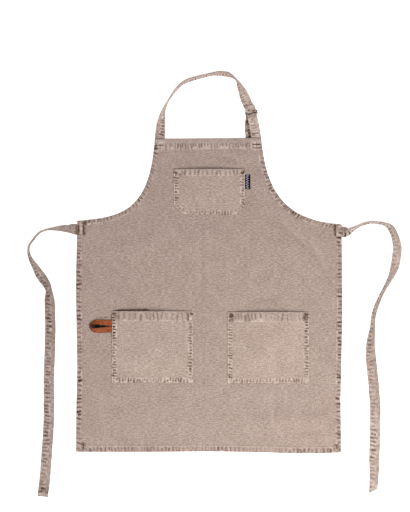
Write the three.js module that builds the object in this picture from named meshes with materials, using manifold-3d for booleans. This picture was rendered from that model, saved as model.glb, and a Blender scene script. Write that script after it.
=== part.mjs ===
// Bib apron of washed canvas, laid flat with its neck strap and waist ties spread out.
// Millimetres, +Z up. X runs to the right and Y towards the neck, seen from above.
// The origin is on the surface that it lies on, under the middle of the body and neck strap.
import * as THREE from 'three';
import { mergeVertices } from 'three/addons/utils/BufferGeometryUtils.js';
import Module from 'manifold-3d';

const wasm = await Module();
wasm.setup();

// Cloth layers and the clearance between pieces that lie on each other.
const CLOTH = 1.2;
const HEM = 2.4;
const STRAP = 2.2;
const GAP = 0.3;

// Folded hems of the body, each as wide as its stitching line is from the edge.
const TOP_HEM = 29;
const ARMHOLE_HEM = 11.5;
const SIDE_HEM = 13.5;
const FOOT_HEM = 16.5;

// Straps and ties are folded to a band; the sewn end of each lies behind the body.
const TIE_WIDTH = 28;
const NECK_WIDTH = 26;
const STRIP_STEP = 12;
const STRIP_ACROSS = 2;

// Cloth that passes over another layer comes down again over this distance.
const LIFT_REACH = 30;
const LIFT_CLEAR = 0.6;
const BODY_CELL = 32;
const POCKET_CELL = 21;
const ARMHOLE_STEPS = 14;
const CUT_MARGIN = 2;
const CUT_LOW = -20;
const CUT_HIGH = 60;

// The rectangular wire ring between the neck strap and the short strap.
const RING = { x: 111.8, y: 392.7, tilt: 14, wire: 2.6, barSpacing: 8.6, clearWidth: 27.2 };
const RING_BEVEL = 0.8;
const RING_CORNER = 0.8;
const RING_FLAP = 16;
const RING_RISE = 30;
const WRAP_STEPS = 6;
const RING_ARC = 3;

// Leather towel loop in the left pocket's seam: a strip whose legs lie flat at the seam.
const LOOP = { seamX: -256.5, midY: -170, width: 16, thick: 2, step: 7 };

// Folded label tape in the chest pocket's seam.
const LABEL = { seamX: 95, tuck: 5, reach: 14, top: 230, height: 38.5, thick: 1.2, curl: 1 };

const rad = THREE.MathUtils.degToRad;
const smoothstep = THREE.MathUtils.smoothstep;

// Rows of a table as objects with the named columns.
function rows(columns, values) {
  const names = columns.split(' ');
  return values.map((row) => Object.fromEntries(names.map((name, i) => [name, row[i]])));
}

// Corners of the body, and how far its armhole curve pulls down from the bib and in from the waist.
const [LEFT, RIGHT] = rows('out bibX bibY waistX waistY footX footY bibPull bibLean waistPull waistRise', [
  [-1, -143, 325, -348, 108, -351, -502, 196, 4, 117, 5],
  [1, 138, 327, 350.5, 98.5, 348.5, -504, 164, 4.7, 131, 4],
]);

// Soft folds of the body as it lies: middle, half length, half width, height and turn.
const FOLDS = rows('x y along across height turn', [
  [3, -225, 190, 42, 3.0, 90],
  [-190, 40, 120, 48, 2.6, 18],
  [198, 30, 120, 48, 2.6, -18],
  [205, -408, 120, 40, 2.2, 0],
  [-185, -405, 130, 44, 2.0, 8],
  [0, 70, 120, 46, 2.2, 0],
]);

// Patch pockets: middle, mouth, size, clipped lower corners, mouth hem and how the mouth gapes.
const POCKETS = rows('name x top width depth clip hem gape gapeAt', [
  ['chest_pocket', 1, 245, 188, 121, 25, 19, 6.6, 0.5],
  ['left_pocket', -149.5, -130, 214, 189, 0, 28, 8.5, 0.34],
  ['right_pocket', 156.5, -132, 215, 189, 0, 28, 7.0, 0.5],
]);
const POCKET_BELLY = 2;
const GAPE_DEPTH = 0.8;

// Routes of the straps as they lie, seen from above. A roll of 0 lies face up and 90 stands on edge.
const LEFT_TIE = rows('x y roll', [
  [-325, 84, 0],
  [-340, 84.4, 0],
  [-354, 86, 0],
  [-362, 87, 20],
  [-370, 86.8, 41],
  [-388, 88, 55],
  [-409, 87, 72],
  [-430, 84, 83],
  [-448.8, 75.2, 80],
  [-462.8, 58.8, 79],
  [-474.3, 41, 79],
  [-475.4, 25, 76],
  [-470, 7, 67],
  [-457.7, -14, 51],
  [-441.5, -41, 28],
  [-430, -57, 38],
  [-422.5, -74, 51],
  [-420.8, -90, 34],
  [-420.6, -104, 13],
  [-419, -154, 0],
  [-419.5, -220, 0],
  [-422.3, -300, 0],
  [-422.5, -380, 0],
  [-423.4, -440, 0],
  [-428.5, -510, 0],
  [-433, -570, 0],
  [-438.5, -620, 0],
]);
const RIGHT_TIE = rows('x y roll', [
  [325, 80.5, 0],
  [340, 79.8, 0],
  [356, 78, 0],
  [362, 78.2, 24],
  [368.5, 79.2, 50],
  [376, 83.7, 64],
  [388, 90.5, 75],
  [404, 98, 77],
  [425, 103.4, 79],
  [446, 102.4, 78],
  [463.7, 98.4, 74],
  [480, 88, 55],
  [490.4, 65.6, 49],
  [496.5, 38, 38],
  [494.7, 14, 34],
  [490.3, -11, 38],
  [482.7, -33, 57],
  [473.3, -52, 69],
  [460.2, -75.6, 75],
  [449, -98.5, 73],
  [439.6, -121.5, 69],
  [433.4, -145.7, 69],
  [431.4, -170, 67],
  [428.4, -194, 53],
  [425.8, -224, 34],
  [427.8, -258, 11],
  [431.3, -291, 0],
  [435.1, -333, 0],
  [438.9, -386, 0],
  [438.8, -428, 0],
  [437.4, -481, 0],
  [435.6, -524, 18],
  [435.5, -566, 34],
  [432.8, -605, 40],
]);
const RIGHT_TIE_SLANT = -30;
const NECK_STRAP = rows('x y roll', [
  [-129.5, 292, 0],
  [-129.5, 312, 0],
  [-129, 333, 0],
  [-127.8, 345, 18],
  [-126.4, 363, 32],
  [-124.7, 375, 46],
  [-122.8, 386, 58],
  [-120.4, 395.4, 70],
  [-112, 415.5, 83],
  [-101.2, 433.8, 86],
  [-86, 455, 80],
  [-71.4, 469.4, 78],
  [-54, 478.2, 73],
  [-23.7, 487, 75],
  [8, 494.5, 76],
  [29, 496.2, 65],
  [47.8, 494.1, 64],
  [61.2, 488.7, 76],
  [71.7, 479.6, 85],
  [78.6, 468.3, 68],
  [83.8, 457.4, 51],
  [89, 447.5, 38],
  [93.1, 436.3, 20],
  [97.2, 426, 6],
  [101.6, 416, 0],
  [106.6, 407, 0],
]);
const RING_STRAP = rows('x y roll', [
  [125.5, 292, 0],
  [125.5, 310, 0],
  [124.6, 327, 0],
  [122, 345, 0],
  [117.6, 366, 0],
  [114.2, 380, 0],
]);
const RING_TAIL = rows('x y roll', [
  [110.4, 380, 0],
  [108, 366, 0],
  [107.6, 352, 0],
  [109.6, 330, 0],
  [110.5, 314, 0],
]);

// Half of the towel loop from its tucked end to the bight, from the seam and the loop's middle line.
const LOOP_HALF = rows('x y roll', [
  [8, 8.6, 0],
  [0, 8.6, 0],
  [-12, 8.8, 2],
  [-24, 9.6, 9],
  [-33, 10.2, 18],
  [-41, 10.4, 30],
  [-48.5, 8.6, 48],
  [-53.3, 5, 60],
]);
const LOOP_BIGHT = rows('x y roll', [[-55.4, 0, 64]]);

// Layers that lie under the body's hem, and under a pocket's edge, and how high they raise it.
const SEAT_MARGIN = 2;
const loopLegs = LOOP_HALF[0].y + LOOP.width / 2 + SEAT_MARGIN;
const SEWN_ENDS = rows('left right low high thick', [
  [-352, -322, 68, 100, STRAP + LIFT_CLEAR],
  [322, 352, 62, 96, STRAP + LIFT_CLEAR],
  [-146, -115, 288, 330, STRAP + LIFT_CLEAR],
  [95, 142, 288, 330, 2 * STRAP + GAP + LIFT_CLEAR],
]);
const SEAM_ENDS = rows('left right low high thick', [
  [LOOP.seamX - 2 * SEAT_MARGIN, LOOP.seamX + LOOP_HALF[0].x + SEAT_MARGIN,
    LOOP.midY - loopLegs, LOOP.midY + loopLegs, LOOP.thick + LIFT_CLEAR],
  [LABEL.seamX - LABEL.tuck - SEAT_MARGIN, LABEL.seamX + 2 * SEAT_MARGIN,
    LABEL.top - LABEL.height - SEAT_MARGIN, LABEL.top + SEAT_MARGIN, LABEL.thick + LIFT_CLEAR],
]);

// Height that cloth is raised at a place by the layers under it.
function liftOver(layers, x, y, reach) {
  let height = 0;
  for (const layer of layers) {
    const besideX = Math.max(layer.left - x, 0, x - layer.right);
    const besideY = Math.max(layer.low - y, 0, y - layer.high);
    const away = Math.hypot(besideX, besideY);
    height = Math.max(height, layer.thick * (1 - smoothstep(away, 0, reach)));
  }
  return height;
}

// Height of the soft folds at a place: each is a smooth hump that ends at its own oval.
function foldHeight(x, y) {
  let height = 0;
  for (const fold of FOLDS) {
    const cos = Math.cos(rad(fold.turn));
    const sin = Math.sin(rad(fold.turn));
    const along = ((x - fold.x) * cos + (y - fold.y) * sin) / fold.along;
    const across = ((y - fold.y) * cos - (x - fold.x) * sin) / fold.across;
    const inside = Math.max(0, 1 - along * along - across * across);
    height += fold.height * inside * inside;
  }
  return height;
}

// Upper face of the body. Its hems lie on the surface, apart from where a strap end is under them.
function bodyTop(x, y) {
  return HEM + foldHeight(x, y) + liftOver(SEWN_ENDS, x, y, LIFT_REACH);
}

// Grid lines through every stop, with even cells of about one size between them.
function gridLines(stops, cell) {
  const sorted = [...new Set(stops)].sort((a, b) => a - b);
  const lines = [sorted[0]];
  for (let i = 1; i < sorted.length; i++) {
    const count = Math.max(1, Math.round((sorted[i] - sorted[i - 1]) / cell));
    for (let k = 1; k <= count; k++) {
      lines.push(THREE.MathUtils.lerp(sorted[i - 1], sorted[i], k / count));
    }
  }
  return lines;
}

// Closed sheet over a grid of lines, between two heights below a surface.
function sheet(xLines, yLines, surface, shallow, deep) {
  const xCells = xLines.length - 1;
  const yCells = yLines.length - 1;
  const box = new THREE.BoxGeometry(1, 1, 1, xCells, yCells, 1);
  const place = box.attributes.position;
  for (let i = 0; i < place.count; i++) {
    const x = xLines[Math.round((place.getX(i) + 0.5) * xCells)];
    const y = yLines[Math.round((place.getY(i) + 0.5) * yCells)];
    const below = place.getZ(i) > 0 ? shallow : deep;
    place.setXYZ(i, x, y, surface(x, y) - below);
  }
  matchDiagonals(box);
  return box;
}

// Splits the cells of a box's lower face along the same diagonals as those of its upper face.
function matchDiagonals(box) {
  const index = box.index.array;
  const { start, count } = box.groups.at(-1);
  for (let i = start; i < start + count; i += 6) {
    const [a, b, d, , c] = index.slice(i, i + 6);
    index.set([a, b, c, a, c, d], i);
  }
}

// Upright prism with an outline, used to cut sheets to shape.
function prism(outline) {
  const shape = new THREE.Shape(outline.map((point) => new THREE.Vector2(point.x, point.y)));
  const block = new THREE.ExtrudeGeometry(shape, { depth: CUT_HIGH - CUT_LOW, bevelEnabled: false });
  return block.translate(0, 0, CUT_LOW);
}

// Closed mesh as a solid for joining and cutting, and a solid back as a geometry.
function solid(geometry) {
  const bare = geometry.clone();
  bare.deleteAttribute('normal');
  bare.deleteAttribute('uv');
  const merged = mergeVertices(bare);
  const vertProperties = Float32Array.from(merged.attributes.position.array);
  const triVerts = Uint32Array.from(merged.index.array);
  return new wasm.Manifold(new wasm.Mesh({ numProp: 3, vertProperties, triVerts }));
}

function geometryOf(body) {
  const mesh = body.getMesh();
  const geometry = new THREE.BufferGeometry();
  geometry.setAttribute('position', new THREE.BufferAttribute(mesh.vertProperties, mesh.numProp));
  geometry.setIndex(new THREE.BufferAttribute(mesh.triVerts, 1));
  geometry.computeVertexNormals();
  return geometry;
}

// Armhole from the bib's top corner down and out to the waist corner.
function armhole(side) {
  const bib = new THREE.Vector2(side.bibX, side.bibY);
  const waist = new THREE.Vector2(side.waistX, side.waistY);
  const down = new THREE.Vector2(side.out * Math.sin(rad(side.bibLean)), -Math.cos(rad(side.bibLean)));
  const inward = new THREE.Vector2(-side.out * Math.cos(rad(side.waistRise)), Math.sin(rad(side.waistRise)));
  const curve = new THREE.CubicBezierCurve(
    bib,
    bib.clone().addScaledVector(down, side.bibPull),
    waist.clone().addScaledVector(inward, side.waistPull),
    waist,
  );
  return curve.getSpacedPoints(ARMHOLE_STEPS);
}

// Outline of the body, anticlockwise, with the hem width of the edge that leaves each point.
function bodyOutline() {
  const outline = armhole(LEFT).map(({ x, y }) => ({ x, y, hem: ARMHOLE_HEM }));
  outline.at(-1).hem = SIDE_HEM;
  outline.push({ x: LEFT.footX, y: LEFT.footY, hem: FOOT_HEM });
  outline.push({ x: RIGHT.footX, y: RIGHT.footY, hem: SIDE_HEM });
  for (const { x, y } of armhole(RIGHT).reverse()) {
    outline.push({ x, y, hem: ARMHOLE_HEM });
  }
  outline.at(-1).hem = TOP_HEM;
  return outline;
}

// Inner edge of the hems: every edge of an anticlockwise outline moved in by its own hem width.
function insideHem(outline) {
  return outline.map((point, i) => {
    const before = outline.at(i - 1);
    const after = outline[(i + 1) % outline.length];
    const normalIn = inwardNormal(before, point);
    const normalOut = inwardNormal(point, after);
    const cross = normalIn.x * normalOut.y - normalIn.y * normalOut.x;
    const x = (before.hem * normalOut.y - point.hem * normalIn.y) / cross;
    const y = (point.hem * normalIn.x - before.hem * normalOut.x) / cross;
    return { x: point.x + x, y: point.y + y };
  });
}

function inwardNormal(from, to) {
  return new THREE.Vector2(from.y - to.y, to.x - from.x).normalize();
}

// Body: one layer of cloth cut to the outline, with the hem's turned layers under its rim.
function bodyGeometry() {
  const outline = bodyOutline();
  const xStops = [LEFT.footX - CUT_MARGIN, RIGHT.waistX + CUT_MARGIN];
  const yStops = [RIGHT.footY - CUT_MARGIN, RIGHT.bibY + CUT_MARGIN];
  for (const end of SEWN_ENDS) {
    xStops.push(end.left - LIFT_REACH, end.left, end.right, end.right + LIFT_REACH);
    yStops.push(end.low - LIFT_REACH, end.low, end.high, end.high + LIFT_REACH);
  }
  const xLines = gridLines(xStops.filter((x) => x >= xStops[0] && x <= xStops[1]), BODY_CELL);
  const yLines = gridLines(yStops.filter((y) => y <= yStops[1]), BODY_CELL);
  const cut = solid(prism(outline));
  const rim = cut.subtract(solid(prism(insideHem(outline))));
  const cloth = solid(sheet(xLines, yLines, bodyTop, 0, CLOTH)).intersect(cut);
  const turned = solid(sheet(xLines, yLines, bodyTop, CLOTH / 2, HEM)).intersect(rim);
  return geometryOf(cloth.add(turned));
}

// Upper face of a pocket: sewn down at three edges, raised by its own belly and its open mouth.
function pocketTop(pocket) {
  const left = pocket.x - pocket.width / 2;
  const peak = Math.log(0.5) / Math.log(pocket.gapeAt);
  return (x, y) => {
    const across = THREE.MathUtils.clamp((x - left) / pocket.width, 0, 1);
    const down = THREE.MathUtils.clamp((pocket.top - y) / pocket.depth, 0, 1);
    const mouth = Math.sin(Math.PI * across ** peak) * (1 - smoothstep(down, 0, GAPE_DEPTH));
    const belly = Math.sin(Math.PI * across) * Math.sin(Math.PI * down);
    const raised = pocket.gape * mouth + POCKET_BELLY * belly;
    const seat = liftOver(SEAM_ENDS, x, y, LIFT_REACH / 2);
    return bodyTop(x, y) + GAP + HEM + raised + seat;
  };
}

// Pocket: one layer with its lower corners clipped, and the turned hem behind its mouth.
function pocketGeometry(pocket) {
  const left = pocket.x - pocket.width / 2;
  const right = pocket.x + pocket.width / 2;
  const bottom = pocket.top - pocket.depth;
  const clip = pocket.clip;
  const outline = [
    { x: left, y: pocket.top },
    { x: left, y: bottom + clip },
    { x: left + clip, y: bottom },
    { x: right - clip, y: bottom },
    { x: right, y: bottom + clip },
    { x: right, y: pocket.top },
  ];
  const corners = clip > 0 ? outline : outline.filter((point, i) => i !== 2 && i !== 3);
  const xStops = [left - CUT_MARGIN, left, right, right + CUT_MARGIN];
  const yStops = [bottom - CUT_MARGIN, bottom, pocket.top - pocket.hem, pocket.top, pocket.top + CUT_MARGIN];
  for (const end of SEAM_ENDS) {
    xStops.push(end.left, end.right);
    yStops.push(end.low, end.high);
  }
  const xLines = gridLines(xStops.filter((x) => x >= xStops[0] && x <= xStops[3]), POCKET_CELL);
  const yLines = gridLines(yStops.filter((y) => y >= yStops[0] && y <= yStops[4]), POCKET_CELL);
  const hemLines = yLines.filter((y) => y >= pocket.top - pocket.hem);
  const surface = pocketTop(pocket);
  const cloth = solid(sheet(xLines, yLines, surface, 0, CLOTH));
  const turned = solid(sheet(xLines, hemLines, surface, CLOTH / 2, HEM));
  return geometryOf(cloth.add(turned).intersect(solid(prism(corners))));
}

// Stations of a band along a route: its middle and the direction of its width. The lower edge of
// the band lies at the height that base gives.
function lyingStations(route, width, thick, base, step = STRIP_STEP, slant = 0) {
  const curve = new THREE.CatmullRomCurve3(route.map(({ x, y, roll }) => new THREE.Vector3(x, y, roll)));
  const points = curve.getSpacedPoints(Math.ceil(curve.getLength() / step));
  return points.map((point, i) => {
    const before = points[Math.max(i - 1, 0)];
    const after = points[Math.min(i + 1, points.length - 1)];
    const heading = new THREE.Vector3(after.x - before.x, after.y - before.y, 0).normalize();
    const turn = i === points.length - 1 ? rad(slant) : 0;
    const left = new THREE.Vector3(-heading.y, heading.x, 0);
    left.addScaledVector(heading, Math.tan(turn));
    const roll = rad(point.z);
    const side = left.multiplyScalar(Math.cos(roll)).add(new THREE.Vector3(0, 0, Math.sin(roll)));
    const halfHeight = (width / 2) * Math.abs(Math.sin(roll)) + (thick / 2) * Math.cos(roll);
    return { at: new THREE.Vector3(point.x, point.y, base(point.x, point.y) + halfHeight), side };
  });
}

// Closed band with a rectangular section through its stations.
function band(stations, width, thick) {
  const last = stations.length - 1;
  const box = new THREE.BoxGeometry(1, 1, 1, last, STRIP_ACROSS, 1);
  const place = box.attributes.position;
  for (let i = 0; i < place.count; i++) {
    const k = Math.round((place.getX(i) + 0.5) * last);
    const { at, side } = stations[k];
    const tangent = stations[Math.min(k + 1, last)].at.clone().sub(stations[Math.max(k - 1, 0)].at);
    const up = tangent.cross(side).normalize();
    const point = at.clone().addScaledVector(side, place.getY(i) * width);
    point.addScaledVector(up, place.getZ(i) * thick);
    place.setXYZ(i, point.x, point.y, point.z);
  }
  box.computeVertexNormals();
  return box;
}

// The ring lies level on the straps. Its bars run along ringAcross, and ringUp points to the neck.
const wrapRadius = RING.wire / 2 + GAP + STRAP / 2;
const ringHeight = STRAP / 2 + wrapRadius;
const ringUp = new THREE.Vector3(-Math.sin(rad(RING.tilt)), Math.cos(rad(RING.tilt)), 0);
const ringAcross = new THREE.Vector3(Math.cos(rad(RING.tilt)), Math.sin(rad(RING.tilt)), 0);
const ringMiddle = new THREE.Vector3(RING.x, RING.y, ringHeight);
const onFloor = () => 0;

// Stations round a bar on its inner side, from above to below it or from below to above.
function wrapStations(barOffset, inward, upwards, side) {
  const bar = ringMiddle.clone().addScaledVector(ringUp, barOffset);
  const stations = [];
  for (let i = 0; i <= WRAP_STEPS; i++) {
    const angle = (upwards ? 1 : -1) * Math.PI * (i / WRAP_STEPS - 0.5);
    const at = bar.clone().addScaledVector(ringUp, inward * wrapRadius * Math.cos(angle));
    at.z += wrapRadius * Math.sin(angle);
    stations.push({ at, side });
  }
  return stations;
}

// Neck strap: from behind the bib, over to the ring, round its upper bar and back on its own face.
function neckStrapGeometry() {
  const stations = lyingStations(NECK_STRAP, NECK_WIDTH, STRAP, onFloor);
  const side = ringAcross.clone();
  stations.push(...wrapStations(RING.barSpacing / 2, -1, true, side));
  const bar = ringMiddle.clone().addScaledVector(ringUp, RING.barSpacing / 2);
  const flapHeights = [ringHeight + wrapRadius - LIFT_CLEAR, 2 * STRAP, 1.5 * STRAP + GAP + LIFT_CLEAR];
  flapHeights.forEach((height, i) => {
    const at = bar.clone().addScaledVector(ringUp, (RING_FLAP * (i + 1)) / flapHeights.length);
    at.z = height;
    stations.push({ at, side });
  });
  return band(stations, NECK_WIDTH, STRAP);
}

// Short strap: from behind the bib up over the ring's lower bar, then back down behind itself.
function ringStrapGeometry() {
  const clear = STRAP + GAP + LIFT_CLEAR / 2;
  const barTop = ringHeight + wrapRadius - STRAP / 2;
  const bar = ringMiddle.clone().addScaledVector(ringUp, -RING.barSpacing / 2);
  const rise = (x, y) => THREE.MathUtils.lerp(clear, barTop, smoothstep(y, bar.y - RING_RISE, bar.y));
  const stations = lyingStations(RING_STRAP, NECK_WIDTH, STRAP, rise);
  const side = ringAcross.clone().negate();
  stations.push(...wrapStations(-RING.barSpacing / 2, 1, false, side));
  for (const station of lyingStations(RING_TAIL, NECK_WIDTH, STRAP, onFloor)) {
    stations.push({ at: station.at, side: station.side.negate() });
  }
  return band(stations, NECK_WIDTH, STRAP);
}

// Ring: a rectangle of wire with rounded edges and corners.
function ringGeometry() {
  const plain = RING.wire - 2 * RING_BEVEL;
  const frame = (halfX, halfY, corner) => {
    const path = new THREE.Path();
    path.moveTo(halfX - corner, -halfY);
    path.absarc(halfX - corner, corner - halfY, corner, -Math.PI / 2, 0, false);
    path.absarc(halfX - corner, halfY - corner, corner, 0, Math.PI / 2, false);
    path.absarc(corner - halfX, halfY - corner, corner, Math.PI / 2, Math.PI, false);
    path.absarc(corner - halfX, corner - halfY, corner, Math.PI, 1.5 * Math.PI, false);
    return path;
  };
  const innerX = RING.clearWidth / 2 + RING_BEVEL;
  const innerY = (RING.barSpacing - RING.wire) / 2 + RING_BEVEL;
  const outer = frame(innerX + plain, innerY + plain, RING_CORNER + plain);
  const outline = new THREE.Shape(outer.getPoints(RING_ARC));
  outline.holes.push(new THREE.Path(frame(innerX, innerY, RING_CORNER).getPoints(RING_ARC)));
  const ring = new THREE.ExtrudeGeometry(outline, {
    depth: plain,
    bevelEnabled: true,
    bevelThickness: RING_BEVEL,
    bevelSize: RING_BEVEL,
    bevelSegments: 1,
  });
  return ring.translate(0, 0, -plain / 2);
}

// Towel loop: flat legs side by side at the seam, turning on edge round the bight.
function towelLoopGeometry() {
  const back = LOOP_HALF.toReversed().map(({ x, y, roll }) => ({ x, y: -y, roll }));
  const route = [...LOOP_HALF, ...LOOP_BIGHT, ...back].map(({ x, y, roll }) => {
    return { x: LOOP.seamX + x, y: LOOP.midY + y, roll };
  });
  const onBody = (x, y) => bodyTop(x, y) + GAP;
  return band(lyingStations(route, LOOP.width, LOOP.thick, onBody, LOOP.step), LOOP.width, LOOP.thick);
}

// Label: a short tape across the seam, its folded end lifting a little.
function labelGeometry() {
  const middle = LABEL.top - LABEL.height / 2;
  const length = LABEL.tuck + LABEL.reach;
  const stations = [0, LABEL.tuck, (LABEL.tuck + length) / 2, length].map((along) => {
    const x = LABEL.seamX - LABEL.tuck + along;
    const curl = LABEL.curl * smoothstep(along, LABEL.tuck, length);
    const at = new THREE.Vector3(x, middle, bodyTop(x, middle) + GAP + LABEL.thick / 2 + curl);
    return { at, side: new THREE.Vector3(0, 1, 0) };
  });
  return band(stations, LABEL.height, LABEL.thick);
}

const apron = new THREE.Group();

function addPiece(name, geometry, color, roughness, metalness = 0) {
  const material = new THREE.MeshStandardMaterial({ color, roughness, metalness });
  const mesh = new THREE.Mesh(geometry, material);
  mesh.name = name;
  apron.add(mesh);
  return mesh;
}

addPiece('apron_body', bodyGeometry(), 0xae9a8f, 0.92);
for (const pocket of POCKETS) {
  addPiece(pocket.name, pocketGeometry(pocket), 0xbca79b, 0.92);
}
const tieLeft = lyingStations(LEFT_TIE, TIE_WIDTH, STRAP, onFloor);
addPiece('waist_tie_left', band(tieLeft, TIE_WIDTH, STRAP), 0xaa978d, 0.92);
const tieRight = lyingStations(RIGHT_TIE, TIE_WIDTH, STRAP, onFloor, STRIP_STEP, RIGHT_TIE_SLANT);
addPiece('waist_tie_right', band(tieRight, TIE_WIDTH, STRAP), 0xc3b0a6, 0.92);
addPiece('neck_strap', neckStrapGeometry(), 0xaa978d, 0.92);
addPiece('ring_strap', ringStrapGeometry(), 0xaa978d, 0.92);
const ring = addPiece('strap_ring', ringGeometry(), 0x2a2724, 0.4, 1);
ring.position.copy(ringMiddle);
ring.rotation.z = rad(RING.tilt);
addPiece('towel_loop', towelLoopGeometry(), 0x9c5833, 0.55);
addPiece('side_label', labelGeometry(), 0x17161a, 0.7);

export default apron;
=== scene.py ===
import math

import bpy
import numpy as np
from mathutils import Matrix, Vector
from mathutils.geometry import delaunay_2d_cdt


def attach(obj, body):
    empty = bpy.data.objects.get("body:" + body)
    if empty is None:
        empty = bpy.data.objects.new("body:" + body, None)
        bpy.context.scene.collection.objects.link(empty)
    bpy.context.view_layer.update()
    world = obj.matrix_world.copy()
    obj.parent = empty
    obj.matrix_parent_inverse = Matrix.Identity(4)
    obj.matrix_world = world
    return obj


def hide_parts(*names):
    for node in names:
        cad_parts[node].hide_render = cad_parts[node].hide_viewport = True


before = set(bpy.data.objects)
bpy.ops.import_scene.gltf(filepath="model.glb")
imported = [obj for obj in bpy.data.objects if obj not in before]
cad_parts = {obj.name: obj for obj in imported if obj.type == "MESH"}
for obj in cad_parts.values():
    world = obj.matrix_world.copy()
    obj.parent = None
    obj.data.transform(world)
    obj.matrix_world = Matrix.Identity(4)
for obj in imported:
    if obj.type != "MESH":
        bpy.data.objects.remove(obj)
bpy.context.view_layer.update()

# Bib apron of washed canvas, lying flat and seen from above.
# Sizes are in millimetres, and the meshes are scaled to metres as they are made.
mm = 0.001
layer = {"cloth": 1.2, "hem": 2.4, "strap": 2.2, "gap": 0.3}
scene = bpy.context.scene


def smoothstep(x, low, high):
    t = np.clip((np.asarray(x, float) - low) / (high - low), 0, 1)
    return t * t * (3 - 2 * t)


# rises over the first range and falls again over the second
def between(x, rise, fall):
    return smoothstep(x, *rise) * (1 - smoothstep(x, *fall))


def bell(x, half=1.0):
    return np.exp(-((x / half) ** 2))


def unit(vectors):
    return vectors / np.linalg.norm(vectors, axis=-1, keepdims=True)


# smooth random bumps of about one size, from -1 to 1
def softNoise(x, y, size, seed):
    side = 97
    dice = np.random.default_rng(seed).uniform(-1, 1, (side, side))
    gridX, gridY = np.broadcast_arrays(np.asarray(x, float) / size, np.asarray(y, float) / size)
    lowX, lowY = np.floor(gridX).astype(int), np.floor(gridY).astype(int)
    partX, partY = smoothstep(gridX - lowX, 0, 1), smoothstep(gridY - lowY, 0, 1)
    mixed = 0
    for stepX, shareX in ((0, 1 - partX), (1, partX)):
        for stepY, shareY in ((0, 1 - partY), (1, partY)):
            mixed = mixed + shareX * shareY * dice[(lowX + stepX) % side, (lowY + stepY) % side]
    return mixed


# uneven strength of worn and dark places
def patchiness(x, y, size, seed):
    return np.clip(0.8 + 0.9 * softNoise(x, y, size, seed), 0, 1.5)


def runAlong(points):
    return np.concatenate([[0], np.cumsum(np.linalg.norm(np.diff(points, axis=0), axis=1))])


def evenStops(run, step):
    return np.linspace(0, run[-1], max(2, round(run[-1] / step)) + 1)


def alongLine(values, run, stops):
    return np.column_stack([np.interp(stops, run, column) for column in values.T])


def evenPoints(path, step):
    run = runAlong(path)
    return alongLine(path, run, evenStops(run, step))


# camera straight above, with the photo's framing
photoView = {
    "lookAt": (-10.6, 15.2),
    "coverHeight": 1351.7,
    "cameraHeight": 9000,
    "sensor": 36,
    "clipEnd": 60,
}


def setCamera(view):
    x, y = view["lookAt"]
    place = (x * mm, y * mm, view["cameraHeight"] * mm)
    bpy.ops.object.camera_add(location=place, rotation=(0, 0, 0))
    camera = bpy.context.object
    camera.name = "view_from_above"
    camera.data.sensor_width = view["sensor"]
    camera.data.lens = view["sensor"] * view["cameraHeight"] / view["coverHeight"]
    camera.data.clip_end = view["clipEnd"]
    scene.camera = camera


# pale floor and soft light, with the lamp above the lower right; sizes here are in metres
studio = {
    "floorSize": 14,
    "floorDrop": 0.0006,
    "floorTone": 0.95,
    "floorGlow": 0.6,
    "sky": 0.53,
    "lampPlace": (0.66, -1.08, 1.7),
    "lampAim": (0.0, -0.1, 0.0),
    "lampSize": 1.6,
    "lampWatts": 40,
}


def setStudio(room):
    world = bpy.data.worlds.new("soft_room")
    world.use_nodes = True
    sky = world.node_tree.nodes["Background"]
    sky.inputs["Color"].default_value = (1, 1, 1, 1)
    sky.inputs["Strength"].default_value = room["sky"]
    scene.world = world
    scene.view_settings.view_transform = "Standard"

    bpy.ops.object.light_add(type="AREA", location=room["lampPlace"])
    lamp = bpy.context.object
    lamp.name = "soft_lamp"
    lamp.data.shape = "DISK"
    lamp.data.size = room["lampSize"]
    lamp.data.energy = room["lampWatts"]
    lamp.visible_camera = False
    fromAim = lamp.location - Vector(room["lampAim"])
    lamp.rotation_euler = fromAim.to_track_quat("Z", "Y").to_euler()

    bpy.ops.mesh.primitive_plane_add(size=room["floorSize"], location=(0, 0, -room["floorDrop"]))
    floor = bpy.context.object
    floor.name = "pale_floor"
    finish = {
        "Base Color": (room["floorTone"],) * 3 + (1,),
        "Roughness": 0.95,
        "Specular IOR Level": 0.1,
        "Emission Color": (1, 1, 1, 1),
        "Emission Strength": room["floorGlow"],
    }
    floor.data.materials.append(startMaterial("pale_floor", finish)[0])


# materials, from colours as a screen shows them
def shade(red, green, blue, gain=1.0):
    linear = []
    for value in (red, green, blue):
        c = value / 255
        linear.append(gain * (c / 12.92 if c <= 0.04045 else ((c + 0.055) / 1.055) ** 2.4))
    return (*linear, 1)


def startMaterial(name, finish):
    made = bpy.data.materials.new(name)
    made.use_nodes = True
    shader = made.node_tree.nodes["Principled BSDF"]
    for socket, value in finish.items():
        shader.inputs[socket].default_value = value
    return made, shader


def addNode(mat, kind, **values):
    made = mat.node_tree.nodes.new("ShaderNode" + kind)
    for name, value in values.items():
        if hasattr(made, name):
            setattr(made, name, value)
        else:
            made.inputs[name].default_value = value
    return made


def join(mat, output, socket):
    mat.node_tree.links.new(output, socket)


# one step of arithmetic on sockets or plain numbers
def calc(mat, operation, *terms):
    made = addNode(mat, "Math", operation=operation)
    for socket, term in zip(made.inputs, terms):
        if isinstance(term, (int, float)):
            socket.default_value = term
        else:
            join(mat, term, socket)
    return made.outputs[0]


def weaveMap(mat):
    return addNode(mat, "UVMap", uv_map="weave").outputs["UV"]


# the weave map's two directions, each times the scale
def weaveAxes(mat, uv, scale):
    split = addNode(mat, "SeparateXYZ")
    join(mat, uv, split.inputs[0])
    return [calc(mat, "MULTIPLY", split.outputs[axis], scale) for axis in "XY"]


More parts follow.
